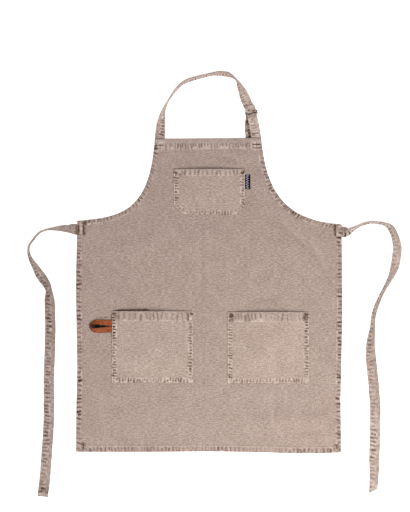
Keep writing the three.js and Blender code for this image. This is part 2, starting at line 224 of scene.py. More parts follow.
def noiseOn(mat, place, scale, detail, roughness):
    stretched = addNode(mat, "Mapping", Scale=scale)
    join(mat, place, stretched.inputs["Vector"])
    made = addNode(mat, "TexNoise", Scale=1.0, Detail=detail, Roughness=roughness)
    join(mat, stretched.outputs["Vector"], made.inputs["Vector"])
    return made.outputs["Fac"]


# noise on the weave map: size along and across the weft, detail and roughness
def weaveNoise(mat, uv, along, across, detail, roughness):
    return noiseOn(mat, uv, (1 / (along * mm), 1 / (across * mm), 1), detail, roughness)


# noise through the piece itself, on its own coordinates
def solidNoise(mat, scale, detail, roughness):
    place = addNode(mat, "TexCoord").outputs["Object"]
    return noiseOn(mat, place, (scale,) * 3, detail, roughness)


def rampOn(mat, factor, stops):
    made = addNode(mat, "ValToRGB")
    ramp = made.color_ramp
    while len(ramp.elements) < len(stops):
        ramp.elements.new(0.5)
    for element, (place, colour) in zip(ramp.elements, stops):
        element.position = place
        element.color = colour
    join(mat, factor, made.inputs["Fac"])
    return made.outputs["Color"]


def blendColours(mat, factor, first, second):
    made = addNode(mat, "Mix", data_type="RGBA")
    join(mat, factor, made.inputs[0])
    for socket, colour in ((made.inputs[6], first), (made.inputs[7], second)):
        if isinstance(colour, tuple):
            socket.default_value = colour
        else:
            join(mat, colour, socket)
    return made.outputs[2]


def bumpOn(mat, shader, height, strength, distance):
    made = addNode(mat, "Bump", Strength=strength, Distance=distance * mm)
    join(mat, height, made.inputs["Height"])
    join(mat, made.outputs["Normal"], shader.inputs["Normal"])


# dark, middle and light dye by tone, then the colours that the piece's wear-and-shade attribute brings in:
# worn cloth and painted light above zero, deep dye and painted shade below it, and painted black shade below
# -1
def dyeAndPaintedShading(mat, look, tone, gain=1.0):
    colours = {key: shade(*colour, gain) for key, colour in look["dyes"].items()}
    colours["hidden"] = shade(*look["hidden"])
    coloured = rampOn(mat, tone, [(place, colours[key]) for key, place in look["stops"].items()])
    wear = addNode(mat, "Attribute", attribute_name="wear").outputs["Fac"]
    for key, turn, level, share in look["wear"]:
        beyond = calc(mat, "MAXIMUM", calc(mat, "MULTIPLY_ADD", wear, turn, -level), 0.0)
        coloured = blendColours(mat, calc(mat, "MULTIPLY", beyond, share), coloured, colours[key])
    return coloured


# stone-washed canvas: slubby threads and wash mottling
canvasLook = {
    "finish": {"Roughness": 0.95, "Specular IOR Level": 0.2, "Sheen Weight": 0.12, "Sheen Roughness": 0.6},
    # size along and across the weft, detail and roughness of each unevenness, and how far it shows
    "uneven": {
        "weft": (9, 2.5, 2.0, 0.5, 1.12),
        "warp": (2.4, 6, 2.0, 0.5, 0.44),
        "mottle": (2.5, 2.5, 1.0, 0.5, 1.0),
        "fade": (42, 42, 3.0, 0.6, 0.34),
    },
    "dyes": {
        "dark": (132, 112, 102),
        "middle": (163, 143, 133),
        "light": (193, 174, 164),
        "worn": (214, 194, 183),
        "deep": (84, 63, 53),
    },
    # painted shade: near-black for gaps between parts that the render leaves too light
    "hidden": (20, 14, 12),
    "stops": {"dark": 0.1, "middle": 0.5, "light": 0.9},
    # colour, 1 above or -1 below the level, the level, and how strong it gets; worn and deep also paint light
    # and shade, and the last row paints black shade into gaps
    "wear": [("worn", 1, 0.0, 0.8), ("deep", -1, 0.0, 0.85), ("hidden", -1, 1.0, 1.0)],
    "threadPitch": 0.95,
    "threadHeight": 0.3,
    "bump": (0.5, 0.35),
}


def washedCanvas(name, look, gain):
    mat, shader = startMaterial(name, look["finish"])
    uv = weaveMap(mat)
    tone = 0.5
    uneven = {}
    for kind, (*grain, share) in look["uneven"].items():
        uneven[kind] = weaveNoise(mat, uv, *grain)
        tone = calc(mat, "MULTIPLY_ADD", calc(mat, "SUBTRACT", uneven[kind], 0.5), share, tone)
    join(mat, dyeAndPaintedShading(mat, look, tone, gain), shader.inputs["Base Color"])

    # over and under threads, with the slubs standing up a little
    turns = 2 * math.pi / (look["threadPitch"] * mm)
    across, along = (calc(mat, "SINE", angle) for angle in weaveAxes(mat, uv, turns))
    weave = calc(mat, "MULTIPLY", across, along)
    slubs = calc(mat, "ADD", uneven["warp"], uneven["weft"])
    bumpOn(mat, shader, calc(mat, "MULTIPLY_ADD", weave, look["threadHeight"], slubs), *look["bump"])
    return mat


# twisted sewing thread
threadLook = {
    "finish": {"Roughness": 0.75},
    "fibre": (900, 3.0, 0.5),
    # place on the ramp and brightness
    "shades": [(0.3, 0.86), (0.7, 1.12)],
    "bump": (0.4, 0.2),
}


def sewingThread(name, look, colour):
    mat, shader = startMaterial(name, look["finish"])
    fibre = solidNoise(mat, *look["fibre"])
    stops = [(place, shade(*(min(255, c * bright) for c in colour))) for place, bright in look["shades"]]
    join(mat, rampOn(mat, fibre, stops), shader.inputs["Base Color"])
    bumpOn(mat, shader, fibre, *look["bump"])
    return mat


# tan leather: grain and pores, with darker cut edges; the edge colour and the near-black one also paint the
# shade inside the towel loop
leatherLook = {
    "finish": {"Specular IOR Level": 0.25},
    "dyes": {"dark": (98, 42, 16), "middle": (143, 70, 31), "light": (178, 98, 52), "edge": (58, 22, 10)},
    # painted shade: near-black for the loop's inner gap
    "hidden": (8, 5, 4),
    "stops": {"dark": 0.25, "middle": 0.5, "light": 0.8},
    "wear": [("edge", -1, 0.0, 1.0), ("hidden", -1, 1.0, 1.0)],
    "patches": (7, 7, 4.0, 0.6),
    "grain": (1.1, 1.1, 3.0, 0.6),
    "grainShare": 0.7,
    "roughness": (0.3, 0.45),
    "bump": (0.45, 0.3),
}


def tanLeather(look):
    mat, shader = startMaterial("tan_leather", look["finish"])
    uv = weaveMap(mat)
    patches = weaveNoise(mat, uv, *look["patches"])
    grain = weaveNoise(mat, uv, *look["grain"])
    tone = calc(mat, "MULTIPLY_ADD", calc(mat, "SUBTRACT", grain, 0.5), look["grainShare"], patches)
    join(mat, dyeAndPaintedShading(mat, look, tone), shader.inputs["Base Color"])
    join(mat, calc(mat, "MULTIPLY_ADD", grain, *look["roughness"]), shader.inputs["Roughness"])
    bumpOn(mat, shader, grain, *look["bump"])
    return mat


# black woven tape with a plain pale zigzag
tapeLook = {
    "finish": {"Roughness": 0.85, "Specular IOR Level": 0.15},
    "black": (14, 13, 17),
    "rib": (30, 29, 36),
    "zigzag": (188, 186, 204),
    "zigzagAt": 8.4,
    "zigzagReach": 5.6,
    "zigzagPeriod": 6.4,
    "zigzagWidth": 1.0,
    "ribPitch": 0.7,
    "bump": (0.4, 0.15),
}


def wovenTape(look):
    mat, shader = startMaterial("black_tape", look["finish"])
    along, across = weaveAxes(mat, weaveMap(mat), 1 / mm)
    rib = calc(mat, "SINE", calc(mat, "MULTIPLY", across, 2 * math.pi / look["ribPitch"]))
    ribTone = calc(mat, "MULTIPLY_ADD", rib, 0.5, 0.5)
    ground = blendColours(mat, ribTone, shade(*look["black"]), shade(*look["rib"]))
    slope = 2 * look["zigzagReach"] / look["zigzagPeriod"]
    swing = calc(mat, "PINGPONG", across, look["zigzagPeriod"] / 2)
    swing = calc(mat, "MULTIPLY_ADD", swing, slope, look["zigzagAt"])
    gap = calc(mat, "ABSOLUTE", calc(mat, "SUBTRACT", along, swing))
    line = calc(mat, "LESS_THAN", gap, look["zigzagWidth"])
    join(mat, blendColours(mat, line, ground, shade(*look["zigzag"])), shader.inputs["Base Color"])
    bumpOn(mat, shader, rib, *look["bump"])
    return mat


# dark plated wire, a little rubbed
wireLook = {
    "finish": {"Metallic": 1.0},
    "rub": (420, 4.0, 0.6),
    "stops": [(0.35, shade(10, 9, 9)), (0.62, shade(20, 18, 17)), (0.8, shade(46, 42, 37))],
    "roughness": (0.4, 0.3),
}


def darkMetal(look):
    mat, shader = startMaterial("dark_metal", look["finish"])
    rub = solidNoise(mat, *look["rub"])
    join(mat, rampOn(mat, rub, look["stops"]), shader.inputs["Base Color"])
    join(mat, calc(mat, "MULTIPLY_ADD", rub, *look["roughness"]), shader.inputs["Roughness"])
    return mat


# a finished mesh piece that rides on the apron, from vertices in millimetres
def makePiece(name, verts, faces, material, uv=None, wear=None):
    mesh = bpy.data.meshes.new(name)
    mesh.from_pydata((np.asarray(verts) * mm).tolist(), [], faces)
    mesh.polygons.foreach_set("use_smooth", np.ones(len(mesh.polygons), bool))
    if uv is not None:
        corner = np.empty(len(mesh.loops), np.int32)
        mesh.loops.foreach_get("vertex_index", corner)
        flat = (np.asarray(uv) * mm)[corner].astype(np.float32)
        mesh.uv_layers.new(name="weave").data.foreach_set("uv", flat.ravel())
    if wear is not None:
        # wear-and-shade values: 1 is worn cloth and painted light, -1 deep dye and painted shade, -2 painted
        # black shade
        shades = np.clip(wear, -2, 1).astype(np.float32)  # 1 is worn, -1 deep in a fold, -2 hidden
        mesh.attributes.new("wear", "FLOAT", "POINT").data.foreach_set("value", shades)
    mesh.materials.append(material)
    piece = bpy.data.objects.new(name, mesh)
    scene.collection.objects.link(piece)
    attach(piece, "root")
    return piece


# a piece takes the place of one solid
def standIn(node):
    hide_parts(node)


# how washed-in marks differ: lean, half width and group size in shares of their spacing,
# middle and reach in shares of the hem's width
ropeShape = {
    "count": 170,
    "lean": 1.3,
    "half": (0.2, 0.36),
    "middle": (0.25, 0.68),
    "reach": (0.32, 0.65),
    "group": 7,
    "strength": (0.1, 1.2),
    "ridgeHalf": 2.2,
    "ends": (0.75, 1.25),
    "ridgeFall": (0.05, 0.45),
    "speckle": 0.4,
}


# marks that washing pulls across a sewn edge: up to 1 on a ridge and -1 in a valley
def ropeMarks(place, depth, made):
    period, seed, jitter, count = made["period"], made["seed"], made["jitter"], ropeShape["count"]
    dice = np.random.default_rng(seed)
    at = np.cumsum(period * dice.uniform(1 - jitter, 1 + jitter, count)) - period
    slack = ropeShape["lean"] * jitter
    lean = period * (made["lean"] + dice.uniform(-slack, slack, count))
    half = period * dice.uniform(*ropeShape["half"], count)
    middle = dice.uniform(*ropeShape["middle"], count)
    reach = dice.uniform(*ropeShape["reach"], count)
    groups = 0.85 + 0.4 * softNoise(at, 0, ropeShape["group"] * period, seed + 1)
    strength = np.clip(groups * dice.uniform(*made["spread"], count), *ropeShape["strength"])
    nearest = np.clip(np.searchsorted(at, place), 2, count - 2)
    valley = shown = 0
    for shift in (-2, -1, 0, 1):
        mark = nearest + shift
        aside = (place - at[mark] - lean[mark] * (depth - 0.5)) / half[mark]
        inward = np.abs(depth - middle[mark]) / reach[mark]
        own = bell(aside) * (1 - smoothstep(inward, *ropeShape["ends"]))
        valley = np.maximum(valley, strength[mark] * own)
        shown = np.maximum(shown, strength[mark] * bell(aside, ropeShape["ridgeHalf"]))
    speckle = softNoise(place, 12 * depth, ropeShape["speckle"] * period, seed + 2)
    ridge = np.clip(shown, 0, 1) * (0.7 + 0.6 * speckle)
    return ridge * (1 - smoothstep(valley, *ropeShape["ridgeFall"])) - valley * (0.85 + 0.4 * speckle)


# distance from each spot to an edge's path, and the place along the path that is nearest
def edgeDistance(path, spots):
    start = path[:-1]
    span = np.diff(path, axis=0)
    length = np.hypot(span[:, 0], span[:, 1])
    way = span / length[:, None]
    run = np.cumsum(length) - length
    gaps = []
    places = []
    for part in np.array_split(spots, len(spots) // 4000 + 1):
        away = part[:, None] - start
        along = np.clip((away * way).sum(2), 0, length)
        gap = np.linalg.norm(away - along[..., None] * way, axis=2)
        best = gap.argmin(1)
        row = np.arange(len(part))
        gaps.append(gap[row, best])
        places.append(run[best] + along[row, best])
    return np.concatenate(gaps), np.concatenate(places)


# for every edge: distance, depth in its hem (1 at the hem's inner line) and place along it
def hemPlaces(edges, spots):
    found = [edgeDistance(edge["path"], spots) for edge in edges]
    gap = np.array([one[0] for one in found])
    hem = np.array([edge["hem"] for edge in edges])
    return gap, gap / hem[:, None], np.array([one[1] for one in found])


# points on a line that follows one edge of an anticlockwise outline, cut at the mitres
def hemLine(edges, number, inset, step):
    points = evenPoints(edges[number]["path"], step)
    way = unit(np.gradient(points, axis=0))
    line = points + inset * np.column_stack([-way[:, 1], way[:, 0]])
    depth = hemPlaces(edges, line)[1]
    depth[number] = np.inf
    return line[depth.min(0) > inset / edges[number]["hem"] + 0.01]


def insideOutline(outline, spots):
    x, y = spots[:, :1], spots[:, 1:]
    ahead = np.roll(outline, -1, axis=0)
    crosses = (outline[:, 1] > y) != (ahead[:, 1] > y)
    rise = np.where(ahead[:, 1] == outline[:, 1], 1, ahead[:, 1] - outline[:, 1])
    at = outline[:, 0] + (y - outline[:, 1]) * (ahead[:, 0] - outline[:, 0]) / rise
    return (crosses & (x < at)).sum(1) % 2 == 1


# rows of points along each hem: from its edge, in shares of its width, and past its inner line
hemRows = {"edge": (0.3, 0.8, 1.6), "inside": np.linspace(0.2, 1.0, 9), "past": (1.4, 4), "toGrid": 7}


# triangles over an outline: fine rows along the hems, an open grid, and finer patches in it
def meshOutline(edges, step, cell, patches):
    outline = np.concatenate([evenPoints(edge["path"], step)[:-1] for edge in edges])
    spots = [outline]
    for number, edge in enumerate(edges):
        past = edge["hem"] + np.array(hemRows["past"])
        for inset in [*hemRows["edge"], *(edge["hem"] * hemRows["inside"]), *past]:
            spots.append(hemLine(edges, number, inset, step))
    low, high = outline.min(0), outline.max(0)
    grid = []
    for row, y in enumerate(np.arange(low[1], high[1], cell * math.sqrt(3) / 2)):
        x = np.arange(low[0] + cell / 2 * (row % 2), high[0], cell)
        grid.append(np.column_stack([x, np.full(len(x), y)]))
    grid = np.concatenate(grid)
    grid = grid[insideOutline(outline, grid)]
    hem = np.array([edge["hem"] for edge in edges])[:, None]
    kept = (hemPlaces(edges, grid)[0] > hem + hemRows["toGrid"]).all(0)
    for left, right, low, high, fine in patches:
        x, y = np.meshgrid(np.arange(left, right, fine), np.arange(low, high, fine))
        spots.append(np.column_stack([x.ravel(), y.ravel()]))
        besideX = (grid[:, 0] > left - cell / 2) & (grid[:, 0] < right + cell / 2)
        kept &= ~(besideX & (grid[:, 1] > low - cell / 2) & (grid[:, 1] < high + cell / 2))
    spots.append(grid[kept])
    border = list(range(len(outline)))
    made = delaunay_2d_cdt(np.concatenate(spots).tolist(), [], [border], 1, 1e-4)
    triangles = [face for face in made[2] if len(face) == 3]
    return np.array([tuple(spot) for spot in made[0]]), np.array(triangles)


# inner end, stitch row, painted shade along the seam beside it, painted shade at the rim, and pressed edge of
# a hem
hemDetail = {
    "innerEnd": (0.92, 1.06),
    "rowHalf": 1.2,
    "rowDepth": 0.3,
    "seamAt": 2.6,
    "seamHalf": 1.3,
    "wornSize": 6,
    "rim": (0.5, 2.6),
    "press": (0.5, 6),
}


# washed-in marks along the hems, with painted shade at their rims and beside their seams: height in
# millimetres, tone, and how far the edge is pressed down
def hemMarks(edges, gap, depth, place):
    own = depth.argmin(0)
    lift, tone, pressed = np.zeros((3, gap.shape[1]))
    for number, edge in enumerate(edges):
        here = own == number
        near, deep, along = gap[number, here], depth[number, here], place[number, here]
        first, last = edge["marks"]
        band = between(deep, (first - 0.06, first + 0.1), (last - 0.08, last + 0.08))
        rope = ropeMarks(along, deep - edge["inward"], edge)
        fromRow = near - edge["hem"] + edge["rowInset"]
        row = bell(fromRow, hemDetail["rowHalf"])
        seam = bell(fromRow - hemDetail["seamAt"], hemDetail["seamHalf"])
        lift[here] = edge["pucker"] * band * rope - hemDetail["rowDepth"] * row
        marked = np.where(rope > 0, edge["ridgeTone"], edge["valleyTone"]) * rope
        inHem = 1 - smoothstep(deep, *hemDetail["innerEnd"])
        # uneven strength of the painted shade at the rim and beside the seam
        worn = 0.6 + 0.6 * softNoise(along, 0, hemDetail["wornSize"], edge["seed"] + 4)
        rim = worn * (1 - smoothstep(near, *hemDetail["rim"]))
        tone[here] = band * marked + edge["rowTone"] * row + edge["hemTone"] * inHem
        tone[here] += edge["rimTone"] * rim + edge["seamTone"] * worn * seam
        flat = edge["pressed"] * (1 - smoothstep(gap[number], *hemDetail["press"]))
        pressed = np.maximum(pressed, flat)
    return lift, tone, pressed


# size and seed of the unevenness of tacked, worn and painted-shade spots, their soft rim, and how far they
# hide marks
spotDetail = {"patch": 3.4, "seed": 61, "rim": (0.55, 1.15), "cover": 0.8}


# tone of tacked and worn spots and of painted shade, and how far they cover the marks beneath
def spotTone(spots, table):
    tone, cover = np.zeros((2, len(spots)))
    patchy = patchiness(spots[:, 0], spots[:, 1], spotDetail["patch"], spotDetail["seed"])
    for x, y, halfX, halfY, strength in table:
        away = np.hypot((spots[:, 0] - x) / halfX, (spots[:, 1] - y) / halfY)
        share = 1 - smoothstep(away, *spotDetail["rim"])
        tone += strength * patchy * share
        cover = np.maximum(cover, min(1, abs(strength)) * share)
    return tone, cover


# size and seed of a line's waves and of its uneven width, how uneven it is, its soft rim and its ends
lineDetail = {"waves": (22, 71), "uneven": (13, 72), "unevenShare": 0.35, "rim": (0.6, 1.3), "end": 8}


# painted shade in lines, as where a pocket's mouth leaves the cloth behind it in shade; a positive tone
# paints light instead
def lineTone(spots, table):
    x, y = spots.T
    tone = np.zeros(len(spots))
    end = lineDetail["end"]
    for first, last, level, wave, half, strength in table:
        middle = level + wave * softNoise(x, 0, *lineDetail["waves"])
        share = np.clip((x - first) / (last - first), 0, 1)
        uneven = 1 + lineDetail["unevenShare"] * softNoise(x, 0, *lineDetail["uneven"])
        width = half * (0.5 + 0.5 * np.sin(math.pi * share)) * uneven
        line = 1 - smoothstep(np.abs(y - middle) / width, *lineDetail["rim"])
        tone += strength * line * between(x, (first, first + end), (last - end, last))
    return tone


# painted light and shade of soft creases that the cloth's surface doesn't have
def creaseShadingTone(spots, table):
    tone = np.zeros(len(spots))
    for x0, y0, x1, y1, half, strength in table:
        gap, place = edgeDistance(np.array([(x0, y0), (x1, y1)], float), spots)
        share = place / math.hypot(x1 - x0, y1 - y0)
        tone += strength * bell(gap, half) * between(share, (0, 0.3), (0.7, 1))
    return tone


# where in a hem's depth its second layer ends, how near the edge the marks calm down,
# and how much of the front's tone the back shows
clothDetail = {"hemEnd": (0.97, 1.08), "edgeCalm": 1.5, "backShare": 0.4}


# cloth cut to an outline: the front follows a height function, and hems are thicker behind
def layCloth(name, edges, face, made, material, step, cell):
    spots, faces = meshOutline(edges, step, cell, made.get("patches", ()))
    gap, depth, place = hemPlaces(edges, spots)
    near = gap.min(0)
    onBorder = near < 1e-3
    faces = faces[~onBorder[faces].all(1)]
    corner = spots[faces]
    first, second = corner[:, 1] - corner[:, 0], corner[:, 2] - corner[:, 0]
    turned = first[:, 0] * second[:, 1] - first[:, 1] * second[:, 0] < 0
    faces[turned] = faces[turned][:, ::-1]

    lift, tone, pressed = hemMarks(edges, gap, depth, place)
    spotted, cover = spotTone(spots, made["spots"])
    tone = tone * (1 - spotDetail["cover"] * cover) + spotted + lineTone(spots, made.get("lines", ()))
    tone += creaseShadingTone(spots, made["streaks"])
    height = face(spots) - pressed
    extra = (layer["hem"] - layer["cloth"]) * (1 - smoothstep(depth.min(0), *clothDetail["hemEnd"]))
    thick = layer["cloth"] + extra - pressed
    turn = 1 - np.clip(near / (thick / 2), 0, 1)
    drawn = thick / 2 * (1 - np.sqrt(1 - turn**2))  # rounds the folded edge
    front = height + lift * smoothstep(near, 0, clothDetail["edgeCalm"]) - drawn
    back = height - thick + drawn

    # front and back share the points on the border
    below = np.arange(len(spots))
    inner = np.flatnonzero(~onBorder)
    below[inner] = len(spots) + np.arange(len(inner))
    verts = np.concatenate([np.column_stack([spots, front]), np.column_stack([spots, back])[inner]])
    allFaces = np.concatenate([faces, below[faces[:, ::-1]]])
    used = np.unique(allFaces)
    renumber = np.zeros(len(verts), int)
    renumber[used] = np.arange(len(used))
    wear = np.concatenate([tone, clothDetail["backShare"] * tone[inner]])
    flat = np.concatenate([spots, spots[inner]])
    piece = makePiece(name, verts[used], renumber[allFaces].tolist(), material, flat[used], wear[used])
    print("cloth", name, len(allFaces), "triangles")
    return piece


# stitches along lines of points: each one dips into the cloth at its ends
thread = {"length": 3.3, "pitch": 4.1, "radius": 0.36, "rise": 0.2, "sides": 5}
rowStep = 1.5


def stitchAlong(runs, kind):
    reach = np.array([-1, -0.6, 0, 0.6, 1])
    girth = np.array([0.35, 0.92, 1, 0.92, 0.35])
    sides = kind["sides"]
    t, angle = np.meshgrid(reach, 2 * math.pi * np.arange(sides) / sides, indexing="ij")
    size = kind["radius"] * girth[:, None]
    half = kind["length"] / 2
    rise = kind["rise"] * (1 - 1.9 * t * t)
    shape = np.stack([half * t, size * np.cos(angle), rise + size * np.sin(angle)], -1).reshape(-1, 3)
    oneStitch = [list(range(sides)), list(range(len(shape) - 1, len(shape) - 1 - sides, -1))]
    for i in range(len(reach) - 1):
        for j in range(sides):
            here, beside = i * sides + j, i * sides + (j + 1) % sides
            oneStitch.append([here, here + sides, beside + sides, beside])

    stitches = []
    for line, normal in runs:
        run = runAlong(line)
        count = int(run[-1] / kind["pitch"] + 0.01)
        middle = (run[-1] - (count - 1) * kind["pitch"]) / 2 + kind["pitch"] * np.arange(count)
        centre = alongLine(line, run, middle)
        way = unit(alongLine(line, run, middle + half) - alongLine(line, run, middle - half))
        aside = unit(np.cross(alongLine(normal, run, middle), way))
        axes = np.stack([way, aside, np.cross(way, aside)], 1)
        stitches.append(centre[:, None] + np.einsum("va,sac->svc", shape, axes))
    stitches = np.concatenate(stitches)
    starts = (np.arange(len(stitches)) * len(shape)).tolist()
    faces = [[corner + start for corner in face] for start in starts for face in oneStitch]
    return stitches.reshape(-1, 3), faces


def sewOn(name, sets, material):
    verts = []
    faces = []
    count = 0
    for runs, kind in sets:
        more, moreFaces = stitchAlong(runs, kind)
        faces += [[corner + count for corner in face] for face in moreFaces]
        verts.append(more)
        count += len(more)
    piece = makePiece(name, np.concatenate(verts), faces, material)
    print("stitching", name, len(faces), "faces")
    return piece


# a line on the marked front of a cloth, with its normals, for what is sewn on
def onCloth(line, edges, face):
    lift, _, pressed = hemMarks(edges, *hemPlaces(edges, line))
    normal = np.tile([0.0, 0.0, 1.0], (len(line), 1))
    return np.column_stack([line, face(line) + lift - pressed]), normal


# a bar tack: short threads side by side, across its length
tackThread = {"radius": 0.4, "rise": 0.45, "sides": 5, "spacing": 0.72}


def barTack(x, y, length, width, turn, edges, face):
    along = np.array([math.cos(math.radians(turn)), math.sin(math.radians(turn))])
    across = np.array([-along[1], along[0]])
    ends = np.linspace(-width / 2, width / 2, 5)[:, None]
    runs = []
    for offset in np.arange(-length / 2, length / 2 + 0.01, tackThread["spacing"]):
        line = np.array([x, y]) + offset * along + ends * across
        runs.append(onCloth(line, edges, face))
    return runs, {**tackThread, "length": width, "pitch": width}


setCamera(photoView)
setStudio(studio)
# copies of the canvas with a brightness gain each, matched to how bright each piece looked: the gains hold
# real fading and painted light and shade
canvas = washedCanvas("washed_canvas", canvasLook, 1.0)
pocketCanvas = washedCanvas("washed_canvas_pocket", canvasLook, 1.1)
leftTieCanvas = washedCanvas("washed_canvas_left_tie", canvasLook, 0.88)
rightTieCanvas = washedCanvas("washed_canvas_right_tie", canvasLook, 1.01)
neckCanvas = washedCanvas("washed_canvas_neck", canvasLook, 1.07)
paleThread = sewingThread("pale_thread", threadLook, (196, 176, 163))
brownThread = sewingThread("brown_thread", threadLook, (104, 76, 57))
print("camera, light and materials are set")

# a sewn edge, where its own row doesn't say otherwise: the share of the hem that is marked and how far
# the marks move inwards, how they vary, their height, and the tones of the row, the painted rim shade and the
# painted shade beside the seam
sewnEdge = {
    "marks": (0.0, 1.0), "inward": 0.0, "jitter": 0.35, "spread": (0.45, 1.3), "lean": 0.0, "pucker": 0.5,
    "rowInset": 1.8, "rowTone": 0.2, "rimTone": 0.0, "seamTone": 0.0, "pressed": 0.0,
}

# the body: bib and skirt in one cloth, hemmed all round
body = {
    "left": {
        "out": -1, "bib": (-143, 325), "waist": (-348, 108), "foot": (-351, -502),
        "bibPull": 196, "bibLean": 4, "waistPull": 117, "waistRise": 5,
    },
    "right": {
        "out": 1, "bib": (138, 327), "waist": (350.5, 98.5), "foot": (348.5, -504),
        "bibPull": 164, "bibLean": 4.7, "waistPull": 131, "waistRise": 4,
    },
    "armholeSteps": 70,
    # slow bends of the long edges: place along x or y, reach and how far outwards
    "bends": {
        "left": [(-55, 90, 2.4), (-287, 70, -2.0)],
        "right": [(-115, 130, 2.4), (-365, 60, -1.4)],
        "foot": [(0, 120, -1.8), (245, 80, 2.5)],
    },
    "bendStep": 26,
    # each hem's width, and the spacing and tones of its marks
    "hems": {
        "armhole": {
            "hem": 12.5, "marks": (0.0, 1.05), "period": 9.2, "lean": 0.3,
            "ridgeTone": 1.3, "valleyTone": 1.5, "hemTone": -0.06, "rimTone": -0.45,
        },
        "side": {
            "hem": 14.5, "period": 10.6, "jitter": 0.33, "lean": 0.1,
            "ridgeTone": 1.25, "valleyTone": 1.35, "hemTone": -0.1, "rimTone": -0.2, "seamTone": -0.15,
        },
        "foot": {
            "hem": 16.5, "marks": (0.0, 0.85), "period": 9.4, "jitter": 0.3, "rowTone": 0.35,
            "ridgeTone": 0.7, "valleyTone": 0.85, "hemTone": 0.0, "rimTone": -0.35, "seamTone": -0.3,
        },
        "top": {
            "hem": 29, "marks": (0.45, 1.0), "period": 7.4, "spread": (0.6, 1.15), "pucker": 0.4,
            "rowTone": 0.25, "ridgeTone": 1.3, "valleyTone": 1.15, "hemTone": 0.16, "rimTone": -0.3,
        },
    },
    # x, y, half length, half width, height and turn of each soft fold
    "folds": [
        (3, -225, 190, 42, 3.0, 90), (-190, 40, 120, 48, 2.6, 18), (198, 30, 120, 48, 2.6, -18),
        (205, -408, 120, 40, 2.2, 0), (-185, -405, 130, 44, 2.0, 8), (0, 70, 120, 46, 2.2, 0),
    ],
    # left, right, low, high and height of the strap ends under the hem
    "sewnEnds": [
        (-352, -322, 68, 100, 2.8), (322, 352, 62, 96, 2.8),
        (-146, -115, 288, 330, 2.8), (95, 142, 288, 330, 5.3),
    ],
    "liftReach": 30,
    # size and height of the small creases left by washing, and where in the hems they die out
    "creases": [(85, 0.45), (30, 0.2), (11, 0.07)],
    "creaseStart": (0.9, 2.2),
    # x, y, half width, half height and tone of dark tacked places, pale worn ones and painted shade
    "spots": [
        # left and right waist corners, and the corners of the foot
        (-345.5, 84, 4, 16, -1.0), (-337.5, 86, 3, 17, 0.7), (-330.5, 87.5, 5.5, 20, -0.95),
        (-325, 101, 4, 7, -0.7), (332.5, 83, 5, 18, -1.0), (341, 91, 5, 7, 0.6), (341, 74, 5, 6, 0.6),
        (-331.5, -485, 7, 12, -0.8), (336.5, -487, 9, 8, -0.7),
        # strap ends on the bib, left and right
        (-129, 315, 15, 6, 0.75), (-129, 303.2, 15, 2.6, 0.7), (-129, 294.5, 14, 2.6, 0.5),
        (-129, 307, 14, 1.3, -0.7), (-129, 299.4, 14, 1.3, -0.6), (-128, 304, 1.2, 9, -0.5),
        (125.5, 316, 14, 6, 0.7), (125.5, 305, 14, 3, 0.7), (125.5, 296, 13, 2.6, 0.5),
        (125.5, 309.6, 13, 1.6, -1.3), (125.5, 300.4, 13, 1.6, -1.1), (125.4, 307, 1.6, 11, -1.1),
        (102, 307, 9, 10, -0.45),
        # shade in and beside the towel loop
        (-283, -170, 26, 6, -7), (-284, -147.5, 22, 3.5, -0.5),
    ],
    # first and last x, y, wave, half width and tone of the painted shade above the pockets' mouths, and of
    # painted light where a positive tone thins the rendered shadow
    "lines": [
        (-248, -154, -127.6, 0.9, 3.0, -1.0), (-165, -44, -128, 0.4, 2.5, 0.2),
        (52, 262, -130, 0.4, 2.5, 0.2), (-90, 93, 247, 0.4, 2.5, 0.3),
    ],
    # first and last point, half width and tone of the painted light and shade of soft creases left by folding
    "streaks": [
        (-14, 292, 84, 273, 6, 0.14), (30, 297, 104, 255, 6, 0.16), (10, 283, 80, 262, 6, -0.12),
        (-96, 285, -20, 262, 6, 0.1), (-104, 276, -30, 252, 6, -0.1),
        (168, 112, 272, 22, 6, -0.16), (176, 120, 280, 30, 6, 0.14),
        (248, 84, 304, -34, 6, -0.14), (256, 88, 314, -28, 6, 0.2),
        (88, -113, 188, -95, 6, -0.16), (84, -103, 190, -86, 6, 0.08),
        (-29, 118, -27, -125, 5.5, 0.12), (-4, 118, -2, -125, 5.5, 0.1), (-16, 118, -15, -125, 5.5, -0.08),
        (166, -318, 166, -446, 5.5, 0.14), (176, -318, 177, -446, 5.5, -0.08),
        (205, -452, 325, -430, 6, 0.1), (215, -465, 325, -446, 6, -0.1), (225, -410, 328, -398, 7, -0.1),
        (-300, 20, -210, -60, 7, -0.08), (-292, 28, -200, -50, 7, 0.08),
    ],
    # left, right, low, high and grid of the places with a finer mesh
    "patches": [
        (-258, -42, -134, -120, 1.6), (48, 265, -136, -126, 1.6), (-94, 96, 242, 250, 1.6),
        (-316, -256, -182, -143, 1.8), (-142, -113, 291, 322, 1.4), (111, 139, 292, 323, 1.4),
    ],
    "step": 1.9,
    "cell": 8.5,
}


def armhole(side, steps):
    bib, waist = np.array(side["bib"], float), np.array(side["waist"], float)
    lean, rise = math.radians(side["bibLean"]), math.radians(side["waistRise"])
    pullDown = bib + side["bibPull"] * np.array([side["out"] * math.sin(lean), -math.cos(lean)])
    pullIn = waist + side["waistPull"] * np.array([-side["out"] * math.cos(rise), math.sin(rise)])
    t = np.linspace(0, 1, steps + 1)[:, None]
    return bib * (1 - t) ** 3 + 3 * pullDown * t * (1 - t) ** 2 + 3 * pullIn * t * t * (1 - t) + waist * t**3


def bentEdge(start, end, bends, axis):
    path = evenPoints(np.array([start, end], float), body["bendStep"])
    way = unit(path[-1] - path[0])
    bow = np.zeros(len(path))
    for at, reach, out in bends:
        bow[1:-1] += out * bell(path[1:-1, axis] - at, reach)
    return path + bow[:, None] * np.array([way[1], -way[0]])


